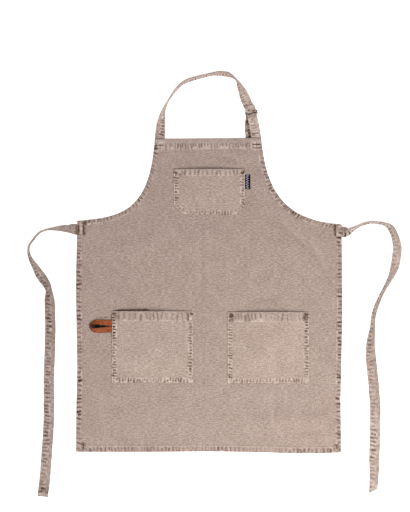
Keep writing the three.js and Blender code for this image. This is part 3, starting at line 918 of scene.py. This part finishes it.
def bodyOutline(made):
    left, right, bends = made["left"], made["right"], made["bends"]
    leftArmhole, rightArmhole = (armhole(side, made["armholeSteps"]) for side in (left, right))
    leftSide = bentEdge(left["waist"], left["foot"], bends["left"], 1)
    foot = bentEdge(left["foot"], right["foot"], bends["foot"], 0)
    rightSide = bentEdge(right["foot"], right["waist"], bends["right"], 1)
    paths = [
        (leftArmhole, "armhole", {}),
        (leftSide, "side", {"valleyTone": 1.55}),
        (foot, "foot", {}),
        (rightSide, "side", {"valleyTone": 1.3, "hemTone": -0.14}),
        (rightArmhole[::-1], "armhole", {"ridgeTone": 1.05, "valleyTone": 1.0}),
        (np.array([right["bib"], left["bib"]], float), "top", {}),
    ]
    edges = []
    for number, (path, kind, own) in enumerate(paths):
        edges.append({**sewnEdge, **made["hems"][kind], **own, "path": path, "seed": 100 + 10 * number})
    return edges


def liftOver(ends, spots, reach):
    height = np.zeros(len(spots))
    for left, right, low, high, thick in ends:
        besideX = np.maximum(np.maximum(left - spots[:, 0], spots[:, 0] - right), 0)
        besideY = np.maximum(np.maximum(low - spots[:, 1], spots[:, 1] - high), 0)
        away = np.hypot(besideX, besideY)
        height = np.maximum(height, thick * (1 - smoothstep(away, 0, reach)))
    return height


bodyEdges = bodyOutline(body)


def bodyFace(spots):
    height = layer["hem"] + liftOver(body["sewnEnds"], spots, body["liftReach"])
    for x, y, along, across, high, turn in body["folds"]:
        cos, sin = math.cos(math.radians(turn)), math.sin(math.radians(turn))
        u = ((spots[:, 0] - x) * cos + (spots[:, 1] - y) * sin) / along
        v = ((spots[:, 1] - y) * cos - (spots[:, 0] - x) * sin) / across
        height = height + high * np.maximum(0, 1 - u * u - v * v) ** 2
    calm = smoothstep(hemPlaces(bodyEdges, spots)[1].min(0), *body["creaseStart"])
    for number, (size, high) in enumerate(body["creases"]):
        height = height + calm * high * softNoise(spots[:, 0], spots[:, 1], size, 300 + number)
    return height


bodyCloth = layCloth("body_cloth", bodyEdges, bodyFace, body, canvas, body["step"], body["cell"])
standIn("apron_body")

bodyRuns = []
for number, edge in enumerate(bodyEdges):
    line = hemLine(bodyEdges, number, edge["hem"] - edge["rowInset"], rowStep)
    bodyRuns.append(onCloth(line, bodyEdges, bodyFace))
bodyStitching = sewOn("body_stitching", [(bodyRuns, thread)], paleThread)

# patch pockets, their mouths standing open a little
# looks: tone of the ridges, the valleys and the whole hem on each side
pockets = [
    {
        "name": "chest_pocket", "x": 1, "top": 245, "width": 188, "depth": 121, "clip": 25,
        "mouthHem": 19, "gape": 6.6, "gapeAt": 0.5, "seed": 400,
        "looks": {
            "left": (2.0, 1.3, 0.0), "foot": (0.9, 0.8, -0.1),
            "right": (2.2, 2.3, -0.2), "mouth": (1.15, 1.1, 0.1),
        },
        "spots": [
            (-87.5, 234.5, 5, 4, -1.0), (-92, 231, 2.6, 9, 0.7), (-88, 226.5, 5, 3.5, 0.6),
            (-81.5, 238, 3, 4, 0.5), (-77, 228.5, 6, 4.5, -0.7), (89, 235, 6, 5, -0.9),
            (82, 230, 4, 7, -0.55), (-66, 127, 8, 5, 0.5), (70, 127, 8, 5, 0.5),
        ],
        "streaks": [(0, 225, 1, 140, 5, -0.1), (-40, 160, 40, 168, 12, 0.06)],
    },
    {
        "name": "left_pocket", "x": -149.5, "top": -130, "width": 214, "depth": 189, "clip": 0,
        "mouthHem": 28, "gape": 8.5, "gapeAt": 0.34, "seed": 500,
        "looks": {
            "left": (2.6, 1.35, -0.2), "foot": (1.6, 1.4, 0.02),
            "right": (1.05, 1.1, -0.15), "mouth": (0.5, 0.5, -0.04),
        },
        "spots": [
            (-250, -137, 6, 5, -0.7), (-241, -146, 6, 10, -0.45), (-57, -145, 4, 12, -0.75),
            (-46.5, -138, 5, 4.5, -0.7), (-48.5, -150.5, 4.5, 6.5, 0.8), (-42, -146, 1.8, 11, -0.4),
            (-252, -313, 8, 7, 0.6), (-47, -313, 9, 8, 0.7),
        ],
        "streaks": [(-170, -206, -60, -202, 26, -0.09), (-230, -280, -70, -286, 18, 0.07)],
    },
    {
        "name": "right_pocket", "x": 156.5, "top": -132, "width": 215, "depth": 189, "clip": 0,
        "mouthHem": 28, "gape": 7.0, "gapeAt": 0.5, "seed": 600,
        "looks": {
            "left": (1.2, 1.25, 0.1), "foot": (1.1, 1.15, -0.01),
            "right": (1.0, 1.15, -0.1), "mouth": (0.7, 0.7, -0.06),
        },
        "spots": [
            (60, -141, 8, 8, -1.0), (58, -155, 9, 7, -0.5), (254, -147, 10, 12, -0.6),
            (259, -138, 8, 5, -0.7), (54, -316, 8, 7, 0.55), (258, -316, 8, 7, 0.5),
        ],
        "streaks": [
            (80, -222, 160, -226, 24, -0.1), (166, -200, 166, -330, 5, 0.16),
            (200, -280, 240, -230, 20, 0.06),
        ],
    },
]
pocketMake = {
    # footRim paints a thin shadow line along the pockets' foot edges
    "belly": 2, "gapeDepth": 0.8, "rows": (2.3, 8.3), "step": 1.7, "cell": 5.5, "footRim": -0.6,
    "side": {
        "hem": 10.5, "marks": (0.0, 1.15), "inward": 0.2, "period": 7.7, "jitter": 0.22,
        "spread": (0.65, 1.2), "lean": 0.1, "pucker": 0.45, "rowTone": 0.15, "pressed": 1.0,
    },
    "mouth": {"marks": (0.1, 0.95), "period": 11, "jitter": 0.4, "pucker": 0.4, "rowTone": 0.4},
}
# left, right, low, high and height of what is sewn in under a pocket's edge
seamEnds = [(-260.5, -246.5, -188.6, -151.4, 2.6), (88, 99, 189.5, 232, 1.8)]


def pocketOutline(pocket):
    left, right = pocket["x"] - pocket["width"] / 2, pocket["x"] + pocket["width"] / 2
    top, bottom, clip = pocket["top"], pocket["top"] - pocket["depth"], pocket["clip"]
    corners = [(left, top), (left, bottom + clip), (left + clip, bottom)]
    corners += [(right - clip, bottom), (right, bottom + clip), (right, top), (left, top)]
    sides = ("left", "foot", "foot", "foot", "right", "mouth")
    edges = []
    for number, (start, end, side) in enumerate(zip(corners, corners[1:], sides)):
        if start == end:
            continue  # this corner isn't clipped
        edge = {**sewnEdge, **pocketMake["mouth" if side == "mouth" else "side"], "side": side}
        edge["path"] = np.array([start, end], float)
        edge["seed"] = pocket["seed"] + 10 * number
        edge["ridgeTone"], edge["valleyTone"], edge["hemTone"] = pocket["looks"][side]
        if side == "mouth":
            edge["hem"] = pocket["mouthHem"]
        if side == "foot":
            edge["rimTone"] = pocketMake["footRim"]
        edges.append(edge)
    return edges


def pocketFace(pocket):
    left = pocket["x"] - pocket["width"] / 2
    peak = math.log(0.5) / math.log(pocket["gapeAt"])

    def face(spots):
        across = np.clip((spots[:, 0] - left) / pocket["width"], 0, 1)
        down = np.clip((pocket["top"] - spots[:, 1]) / pocket["depth"], 0, 1)
        mouth = np.sin(math.pi * across**peak) * (1 - smoothstep(down, 0, pocketMake["gapeDepth"]))
        belly = np.sin(math.pi * across) * np.sin(math.pi * down)
        raised = pocket["gape"] * mouth + pocketMake["belly"] * belly
        seat = liftOver(seamEnds, spots, body["liftReach"] / 2)
        return bodyFace(spots) + layer["gap"] + layer["hem"] + raised + seat

    return face


pocketRuns = []
for pocket in pockets:
    pocket["edges"] = pocketOutline(pocket)
    pocket["face"] = pocketFace(pocket)
    piece = layCloth(
        pocket["name"] + "_cloth", pocket["edges"], pocket["face"], pocket,
        pocketCanvas, pocketMake["step"], pocketMake["cell"],
    )
    standIn(pocket["name"])
    for number, edge in enumerate(pocket["edges"]):
        mouthRow = (edge["hem"] - edge["rowInset"],)
        for inset in mouthRow if edge["side"] == "mouth" else pocketMake["rows"]:
            line = hemLine(pocket["edges"], number, inset, rowStep)
            pocketRuns.append(onCloth(line, pocket["edges"], pocket["face"]))
sewOn("pocket_stitching", [(pocketRuns, thread)], paleThread)


# a smooth curve through the route's points: x, y and roll
def routeCurve(route, perSpan=24):
    p = np.array(route, float)
    p = np.vstack([2 * p[0] - p[1], p, 2 * p[-1] - p[-2]])
    gap = np.sqrt(np.linalg.norm(np.diff(p, axis=0), axis=1))[:, None]
    before, here, after = gap[:-2], gap[1:-1], gap[2:]
    a, b, c, d = p[:-3], p[1:-2], p[2:-1], p[3:]
    leave = ((b - a) / before - (c - a) / (before + here) + (c - b) / here) * here
    arrive = ((c - b) / here - (d - b) / (here + after) + (d - c) / after) * here
    b, c, leave, arrive = (part[:, None] for part in (b, c, leave, arrive))
    t = np.linspace(0, 1, perSpan, endpoint=False)[:, None]
    curve = b + leave * t + (3 * (c - b) - 2 * leave - arrive) * t**2 + (2 * (b - c) + leave + arrive) * t**3
    return np.vstack([curve.reshape(-1, 3), p[-2]])


def floorLevel(spots):
    return np.zeros(len(spots))


# centre and width direction of a band whose lower edge rests at the base height
def lieFlat(route, made, base=floorLevel):
    curve = routeCurve(route)
    run = runAlong(curve[:, :2])
    stops = evenStops(run, made["step"])
    x, y, roll = alongLine(curve, run, stops).T
    heading = unit(np.column_stack([np.gradient(x), np.gradient(y)]))
    left = np.column_stack([-heading[:, 1], heading[:, 0]])
    slant = math.tan(math.radians(made["endSlant"]))
    left = left + heading * (slant * smoothstep(stops, run[-1] - made["slantReach"], run[-1]))[:, None]
    roll = np.radians(roll)
    side = np.column_stack([left * np.cos(roll)[:, None], np.sin(roll)])
    halfHeight = made["width"] / 2 * np.abs(np.sin(roll)) + made["thick"] / 2 * np.cos(roll)
    return np.column_stack([x, y, base(np.column_stack([x, y])) + halfHeight]), side


# washed-in marks beside a band's stitching, which is on its right-hand side, and painted shade along its
# edges
def bandMarks(made, run, v):
    depth = (v + made["width"] / 2) / made["width"]
    first, last = made["marks"]
    band = between(depth, (first - 0.05, first + 0.06), (last - 0.05, last + 0.08))
    calm = smoothstep(run, *made["calm"])
    rope = ropeMarks(run, (depth - first) / (last - first), made) * band * calm
    marked = np.where(rope > 0, made["ridgeTone"], made["valleyTone"]) * rope
    tone = marked + made["plainTone"] * (1 - band)
    # painted shade along the band's rounded edges
    edge = smoothstep(np.abs(v), made["width"] / 2 - made["edgeReach"], made["width"] / 2)
    return made["pucker"] * rope, tone + made["edgeTone"] * edge


# points round a folded edge in shares of half the thickness, sizes of the worn patches and the mottling,
# how far a band wanders and over what length, and the soft start of a place within the width
bandDetail = {
    "turn": np.array([0, 0.08, 0.3, 0.62]), "patch": 4, "mottle": 3.2,
    "wander": 0.3, "wanderSize": 14, "soft": 1.5,
}


def layBand(name, centre, side, made, material):
    half, edge, seed = made["width"] / 2, made["thick"] / 2, made["seed"]
    run = runAlong(centre)
    up = unit(np.cross(unit(np.gradient(centre, axis=0)), side))
    flat = half - edge
    turned = edge * bandDetail["turn"]
    v = np.concatenate([turned - half, np.linspace(-flat, flat, made["columns"]), half - turned[::-1]])
    bulge = np.sqrt(np.clip(1 - (np.maximum(np.abs(v) - flat, 0) / edge) ** 2, 0, 1))
    lift, tone = bandMarks(made, run[:, None], v[None])
    patchy = patchiness(run[:, None], v[None], bandDetail["patch"], seed + 6)
    for first, last, fade, strength, *inner in made["places"]:
        tint = strength * between(run, (first - fade, first + fade), (last - fade, last + fade))[:, None]
        for start in inner:
            tint = tint * smoothstep(v, start - bandDetail["soft"], start + bandDetail["soft"])
        tone += tint * patchy
    tone += made["mottle"] * softNoise(run[:, None], v[None], bandDetail["mottle"], seed + 7)
    wander = bandDetail["wander"] * softNoise(run, 0, bandDetail["wanderSize"], seed + 5)
    line = centre + side * wander[:, None]
    sheet = line[:, None] + side[:, None] * v[None, :, None]
    front = sheet + up[:, None] * ((edge + lift) * bulge)[..., None]
    back = sheet - up[:, None] * (edge * bulge * np.ones_like(lift))[..., None]

    # front and back share the points on the two edges
    rows, columns = lift.shape
    over = np.arange(rows * columns).reshape(rows, columns)
    under = over.copy()
    under[:, 1:-1] = rows * columns + np.arange(rows * (columns - 2)).reshape(rows, columns - 2)
    faces = []
    for table, step in ((over, 1), (under, -1)):
        quads = np.stack([table[:-1, :-1], table[1:, :-1], table[1:, 1:], table[:-1, 1:]], -1)
        faces += quads.reshape(-1, 4)[:, ::step].tolist()
    for row, step in ((0, 1), (rows - 1, -1)):
        for j in range(columns - 1):
            end = [over[row, j], over[row, j + 1], under[row, j + 1], under[row, j]]
            faces.append([int(corner) for corner in dict.fromkeys(end)][::step])
    verts = np.concatenate([front.reshape(-1, 3), back[:, 1:-1].reshape(-1, 3)])
    uv = np.stack(np.broadcast_arrays(run[:, None], v[None]), -1)
    uv = np.concatenate([uv.reshape(-1, 2), uv[:, 1:-1].reshape(-1, 2)])
    wear = np.concatenate([tone.ravel(), (tone + made["backTone"])[:, 1:-1].ravel()])
    piece = makePiece(name, verts, faces, material, uv, wear)
    print("band", name, round(run[-1]), "mm long,", len(faces), "faces")
    return piece, {"centre": line, "side": side, "up": up, "run": run, "made": made}


# stitch lines on both faces of a band, beside its right-hand edge
def bandRuns(info):
    made = info["made"]
    v = made["stitchInset"] - made["width"] / 2
    lift = bandMarks(made, info["run"], np.full(len(info["run"]), v))[0]
    line = info["centre"] + info["side"] * v
    above = line + info["up"] * (made["thick"] / 2 + lift)[:, None]
    below = line - info["up"] * made["thick"] / 2
    runs = []
    for points, normal in ((above, info["up"]), (below, -info["up"])):
        shown = normal[:, 2] > -0.85  # none on the side that lies on the floor
        cuts = np.flatnonzero(np.diff(shown)) + 1
        for rows in np.split(np.arange(len(points)), cuts):
            if shown[rows[0]] and len(rows) > 4:
                runs.append((points[rows], normal[rows]))
    return runs


# a sewn cloth band that takes the place of one solid: the piece, its stitching and its length
def layStrap(name, node, routed, made, material):
    piece, info = layBand(name + "_cloth", *routed, made, material)
    standIn(node)
    stitching = sewOn(name + "_stitching", [(bandRuns(info), thread)], paleThread)
    return piece, stitching, info["run"][-1] * mm


# a folded band held in a pocket's seam
def laySeamBand(name, node, slot, centre, side, made, material):
    piece, info = layBand(name, centre, side, made, material)
    standIn(node)


# folded cloth bands for the ties and the neck
clothBand = {
    "width": 28, "thick": layer["strap"], "step": 1.8, "columns": 15, "marks": (0.03, 0.62), "period": 9.8,
    "jitter": 0.24, "lean": 0.1, "pucker": 0.4, "spread": (0.65, 1.15), "ridgeTone": 1.2, "valleyTone": 1.05,
    "plainTone": -0.05, "edgeTone": -0.2, "edgeReach": 1.6, "backTone": 0.0, "mottle": 0.4, "calm": (28, 34),
    "stitchInset": 3.0, "endSlant": 0, "slantReach": 26, "places": (),
}
# a leather or tape band has no washed-in marks
plainBand = {**clothBand, "pucker": 0.0, "mottle": 0.0, "ridgeTone": 0.0, "valleyTone": 0.0, "plainTone": 0.0}

# waist ties: x, y and roll along each, from the sewn end; 0 lies flat and 90 stands on edge
# places: first and last length along the band, fade and tone of what is darker or paler, and,
# where it isn't the whole width, how far from the band's middle line it starts
leftTie = {
    **clothBand,
    "seed": 20,
    "route": [
        (-325, 84, 0), (-340, 84.4, 0), (-354, 86, 0), (-362, 87, 20), (-370, 86.8, 41), (-388, 88, 55),
        (-409, 87, 72), (-430, 84, 83), (-448.8, 75.2, 80), (-462.8, 58.8, 79), (-474.3, 41, 79),
        (-475.4, 25, 76), (-470, 7, 67), (-457.7, -14, 51), (-441.5, -41, 28), (-430, -57, 38),
        (-422.5, -74, 51), (-420.8, -90, 34), (-420.6, -104, 13), (-419, -154, 0), (-419.5, -220, 0),
        (-422.3, -300, 0), (-422.5, -380, 0), (-423.4, -440, 0), (-428.5, -510, 0), (-433, -570, 0),
        (-438.5, -620, 0),
    ],
    "exit": (-348, 85.3, 1.1),
    "places": [
        (22, 29, 2, -0.4), (41.5, 46, 1.5, -0.4, -6), (57, 61, 2, -0.4), (33, 190, 6, 0.5),
        (260, 460, 40, -0.1), (480, 860, 60, 0.2), (825, 840, 2, -0.8), (845, 860, 1.5, 0.6),
    ],
}
rightTie = {
    **clothBand,
    "seed": 30,
    "route": [
        (325, 80.5, 0), (340, 79.8, 0), (356, 78, 0), (362, 78.2, 24), (368.5, 79.2, 50),
        (376, 83.7, 64), (388, 90.5, 75), (404, 98, 77), (425, 103.4, 79), (446, 102.4, 78),
        (463.7, 98.4, 74), (480, 88, 55), (490.4, 65.6, 49), (496.5, 38, 38), (494.7, 14, 34),
        (490.3, -11, 38), (482.7, -33, 57), (473.3, -52, 69), (460.2, -75.6, 75), (449, -98.5, 73),
        (439.6, -121.5, 69), (433.4, -145.7, 69), (431.4, -170, 67), (428.4, -194, 53),
        (425.8, -224, 34), (427.8, -258, 11), (431.3, -291, 0), (435.1, -333, 0), (438.9, -386, 0),
        (438.8, -428, 0), (437.4, -481, 0), (435.6, -524, 18), (435.5, -566, 34), (432.8, -605, 40),
    ],
    "endSlant": -30,
    "exit": (350.5, 78.7, 1.1),
    "places": [
        (25, 28, 2, -0.8), (32, 37, 2, -0.9), (205, 455, 25, 0.5), (690, 900, 40, 0.3),
        (250, 330, 15, 0.35, 3), (533.5, 537, 1.2, -1.2, -3), (864, 890, 3, 0.7),
    ],
}


def layTie(name, tie, node, material):
    centre, side = lieFlat(tie["route"], tie)
    piece, stitching, length = layStrap(name, node, (centre, side), tie, material)


layTie("left_tie", leftTie, "waist_tie_left", leftTieCanvas)
layTie("right_tie", rightTie, "waist_tie_right", rightTieCanvas)

# neck strap, ring and short strap; the ring lies level and its bars run across the straps
ring = {
    "x": 111.8, "y": 392.7, "tilt": 14, "wire": 2.6, "barSpacing": 8.6,
    "flap": 16, "rise": 30, "bulge": 1.2, "wrapSteps": 16, "joinStep": 1.2,
}
neckBand = {**clothBand, "width": 26, "calm": (34, 44)}
neckStrap = {
    **neckBand,
    "seed": 40,
    "period": 8.0,
    "marks": (0.04, 0.58),
    "ridgeTone": 1.3,
    "valleyTone": 1.35,
    "route": [
        (-129.5, 292, 0), (-129.5, 312, 0), (-129, 333, 0), (-127.8, 345, 18), (-126.4, 363, 32),
        (-124.7, 375, 46), (-122.8, 386, 58), (-120.4, 395.4, 70), (-112, 415.5, 83),
        (-101.2, 433.8, 86), (-86, 455, 80), (-71.4, 469.4, 78), (-54, 478.2, 73), (-23.7, 487, 75),
        (8, 494.5, 76), (29, 496.2, 65), (47.8, 494.1, 64), (61.2, 488.7, 76), (71.7, 479.6, 85),
        (78.6, 468.3, 68), (83.8, 457.4, 51), (89, 447.5, 38), (93.1, 436.3, 20), (97.2, 426, 6),
        (101.6, 416, 0), (106.6, 407, 0),
    ],
    "flapHeights": (5.9, 4.4, 4.2),
    # the last three places paint shade in the ring's slot and a highlight on the folded end
    "places": [
        (90, 185, 20, 0.2), (215, 330, 20, -0.1), (350, 425, 15, 0.2),
        (437, 450.5, 1.2, -2.2), (453, 466, 2, 0.5), (460, 470, 1.5, 0.5),
    ],
}
ringStrap = {
    **neckBand,
    "seed": 50,
    "period": 7.4,
    "jitter": 0.35,
    "lean": 0.5,
    "marks": (0.2, 0.95),
    "ridgeTone": 1.4,
    "valleyTone": 0.8,
    "stitchInset": 23,
    "clear": 2.8,
    "route": [
        (125.5, 292, 0), (125.5, 310, 0), (124.6, 327, 0), (122, 345, 0), (117.6, 366, 0), (114.2, 380, 0),
    ],
    "tail": [(110.4, 380, 0), (108, 366, 0), (107.6, 352, 0), (109.6, 330, 0), (110.5, 314, 0)],
    # past the first place, painted shade on the ring's slot, under the fold and along the tail that hangs
    # behind
    "places": [
        (30, 86, 6, 0.6), (91, 98, 2, -0.4), (99.5, 130, 1, -1.8), (127, 146, 2, -0.6), (145, 185, 2, -0.9),
    ],
}
wrapRadius = ring["wire"] / 2 + layer["gap"] + layer["strap"] / 2
ringHeight = layer["strap"] / 2 + wrapRadius
ringTurn = math.radians(ring["tilt"])
ringUp = np.array([-math.sin(ringTurn), math.cos(ringTurn), 0])
ringAcross = np.array([math.cos(ringTurn), math.sin(ringTurn), 0])
ringMiddle = np.array([ring["x"], ring["y"], ringHeight])


# round a bar on its inner side, from below up or from above down
def wrapBar(barOffset, inward, upwards):
    share = np.arange(ring["wrapSteps"] + 1) / ring["wrapSteps"]
    angle = (1 if upwards else -1) * math.pi * (share - 0.5)
    out = inward * (wrapRadius + ring["bulge"]) * np.cos(angle)
    rise = wrapRadius * np.sin(angle)
    bar = ringMiddle + barOffset * ringUp
    return bar + out[:, None] * ringUp + rise[:, None] * np.array([0, 0, 1])


# even steps along joined stretches of a band, with the joints smoothed
def joinStretches(stretches):
    centre = np.concatenate([stretch[0] for stretch in stretches])
    side = np.concatenate([stretch[1] for stretch in stretches])
    run = runAlong(centre)
    stops = evenStops(run, ring["joinStep"])
    centre, side = alongLine(centre, run, stops), alongLine(side, run, stops)
    for values in (centre, side):
        for _ in range(2):
            values[1:-1] = 0.25 * values[:-2] + 0.5 * values[1:-1] + 0.25 * values[2:]
    return centre, unit(side)


def routeNeckStrap(made):
    bar = ring["barSpacing"] / 2
    wrap = wrapBar(bar, -1, True)
    flap = []
    for number, height in enumerate(made["flapHeights"], 1):
        place = ringMiddle + (bar + ring["flap"] * number / len(made["flapHeights"])) * ringUp
        flap.append([place[0], place[1], height])
    turned = np.vstack([wrap, flap])
    return joinStretches([lieFlat(made["route"], made), (turned, np.tile(ringAcross, (len(turned), 1)))])


def routeRingStrap(made):
    bar = -ring["barSpacing"] / 2
    barY = (ringMiddle + bar * ringUp)[1]
    barTop = ringHeight + wrapRadius - layer["strap"] / 2

    def rising(spots):
        share = smoothstep(spots[:, 1], barY - ring["rise"], barY)
        return made["clear"] + (barTop - made["clear"]) * share

    wrap = wrapBar(bar, 1, False)
    tail, tailSide = lieFlat(made["tail"], made)
    turned = (wrap, np.tile(-ringAcross, (len(wrap), 1)))
    return joinStretches([lieFlat(made["route"], made, rising), turned, (tail, -tailSide)])


for name, made, routed in (
    ("neck_strap", neckStrap, routeNeckStrap(neckStrap)),
    ("ring_strap", ringStrap, routeRingStrap(ringStrap)),
):
    piece, stitching, length = layStrap(name, name, routed, made, neckCanvas)

# the ring keeps its solid, with a plated finish
ringNode = bpy.data.objects["strap_ring"]
ringNode.data.materials.clear()
ringNode.data.materials.append(darkMetal(wireLook))

# leather towel loop in the left pocket's seam
towelLoop = {
    **plainBand,
    "width": 16, "thick": 2.0, "step": 1.2, "columns": 11,
    # darker cut edges and flesh side, deepened into painted shade in the loop's gap; the places paint shade
    # on the bight and on the loop's inside
    "edgeTone": -0.8, "backTone": -0.7, "seed": 60,
    "places": [(62, 76, 2, -0.6), (22, 116, 10, -1.6, 6.6)],
    "seam": (-256.5, -170),
    # x, y and roll of one leg, from the seam and the loop's middle line
    "leg": [
        (8, 8.6, 0), (0, 8.6, 0), (-12, 8.8, 2), (-24, 9.6, 9), (-33, 10.2, 18), (-41, 10.4, 30),
        (-48.5, 8.6, 48), (-53.3, 5, 60),
    ],
    "bight": (-55.4, 0, 64),
}


def onBody(spots):
    return bodyFace(spots) + layer["gap"]


def layLoop(made):
    back = [(x, -y, roll) for x, y, roll in reversed(made["leg"])]
    seamX, midY = made["seam"]
    route = [(seamX + x, midY + y, roll) for x, y, roll in [*made["leg"], made["bight"], *back]]
    laid = lieFlat(route, made, onBody)
    laySeamBand("towel_loop_leather", "towel_loop", "loop_leather", *laid, made, tanLeather(leatherLook))


layLoop(towelLoop)

# folded tape label in the chest pocket's seam
sideLabel = {
    **plainBand,
    "width": 38.5, "thick": 1.2, "columns": 25, "rows": 20, "edgeTone": 0.0, "seed": 70,
    "seamX": 95, "tuck": 5, "reach": 14, "top": 230, "curl": 1,
}


def layLabel(made):
    along = np.linspace(0, made["tuck"] + made["reach"], made["rows"])
    x = made["seamX"] - made["tuck"] + along
    y = np.full(len(x), made["top"] - made["width"] / 2)
    curl = made["curl"] * smoothstep(along, made["tuck"], along[-1])
    z = onBody(np.column_stack([x, y])) + made["thick"] / 2 + curl
    side = np.tile([0.0, 1.0, 0.0], (len(x), 1))
    centre = np.column_stack([x, y, z])
    laySeamBand("side_label_tape", "side_label", "label_tape", centre, side, made, wovenTape(tapeLook))


layLabel(sideLabel)

# brown bar tacks: x, y, length, width and turn
bodyTacks = [
    (-345, 84, 26, 4.2, 90), (-331, 87.5, 32, 4.6, 90), (-325, 101, 9, 3.2, 90),
    (332.6, 83, 30, 4.4, 90), (-331.5, -487, 13, 3.6, 80), (337, -488, 11, 3.6, 100),
]
pocketTacks = {
    "chest_pocket": [(-88.2, 235, 9, 4.4, 0), (89, 235.2, 9, 4.4, 0)],
    "left_pocket": [(-250, -136.5, 9, 3.4, 0), (-55, -145, 21, 3.0, 90), (-46.5, -137, 8, 3.6, 0)],
    "right_pocket": [(59.9, -141, 10, 4.6, 20), (257.5, -138.5, 11, 4.4, 0)],
}
# brown rows across the strap ends on the bib: first and last point
strapRows = [
    ((-142, 306.9), (-116, 306.9)), ((-142, 299.5), (-116, 299.5)), ((-128, 313), (-128, 297)),
    ((113.5, 309.5), (137.5, 309.5)), ((113.5, 300.3), (137.5, 300.3)), ((125.4, 319), (125.4, 297)),
]
sets = [barTack(*row, bodyEdges, bodyFace) for row in bodyTacks]
rowRuns = []
for ends in strapRows:
    rowRuns.append(onCloth(evenPoints(np.array(ends, float), rowStep), bodyEdges, bodyFace))
sets.append((rowRuns, thread))
bodyTackPiece = sewOn("body_bar_tacks", sets, brownThread)
sets = []
for pocket in pockets:
    for row in pocketTacks[pocket["name"]]:
        sets.append(barTack(*row, pocket["edges"], pocket["face"]))
sewOn("pocket_bar_tacks", sets, brownThread)
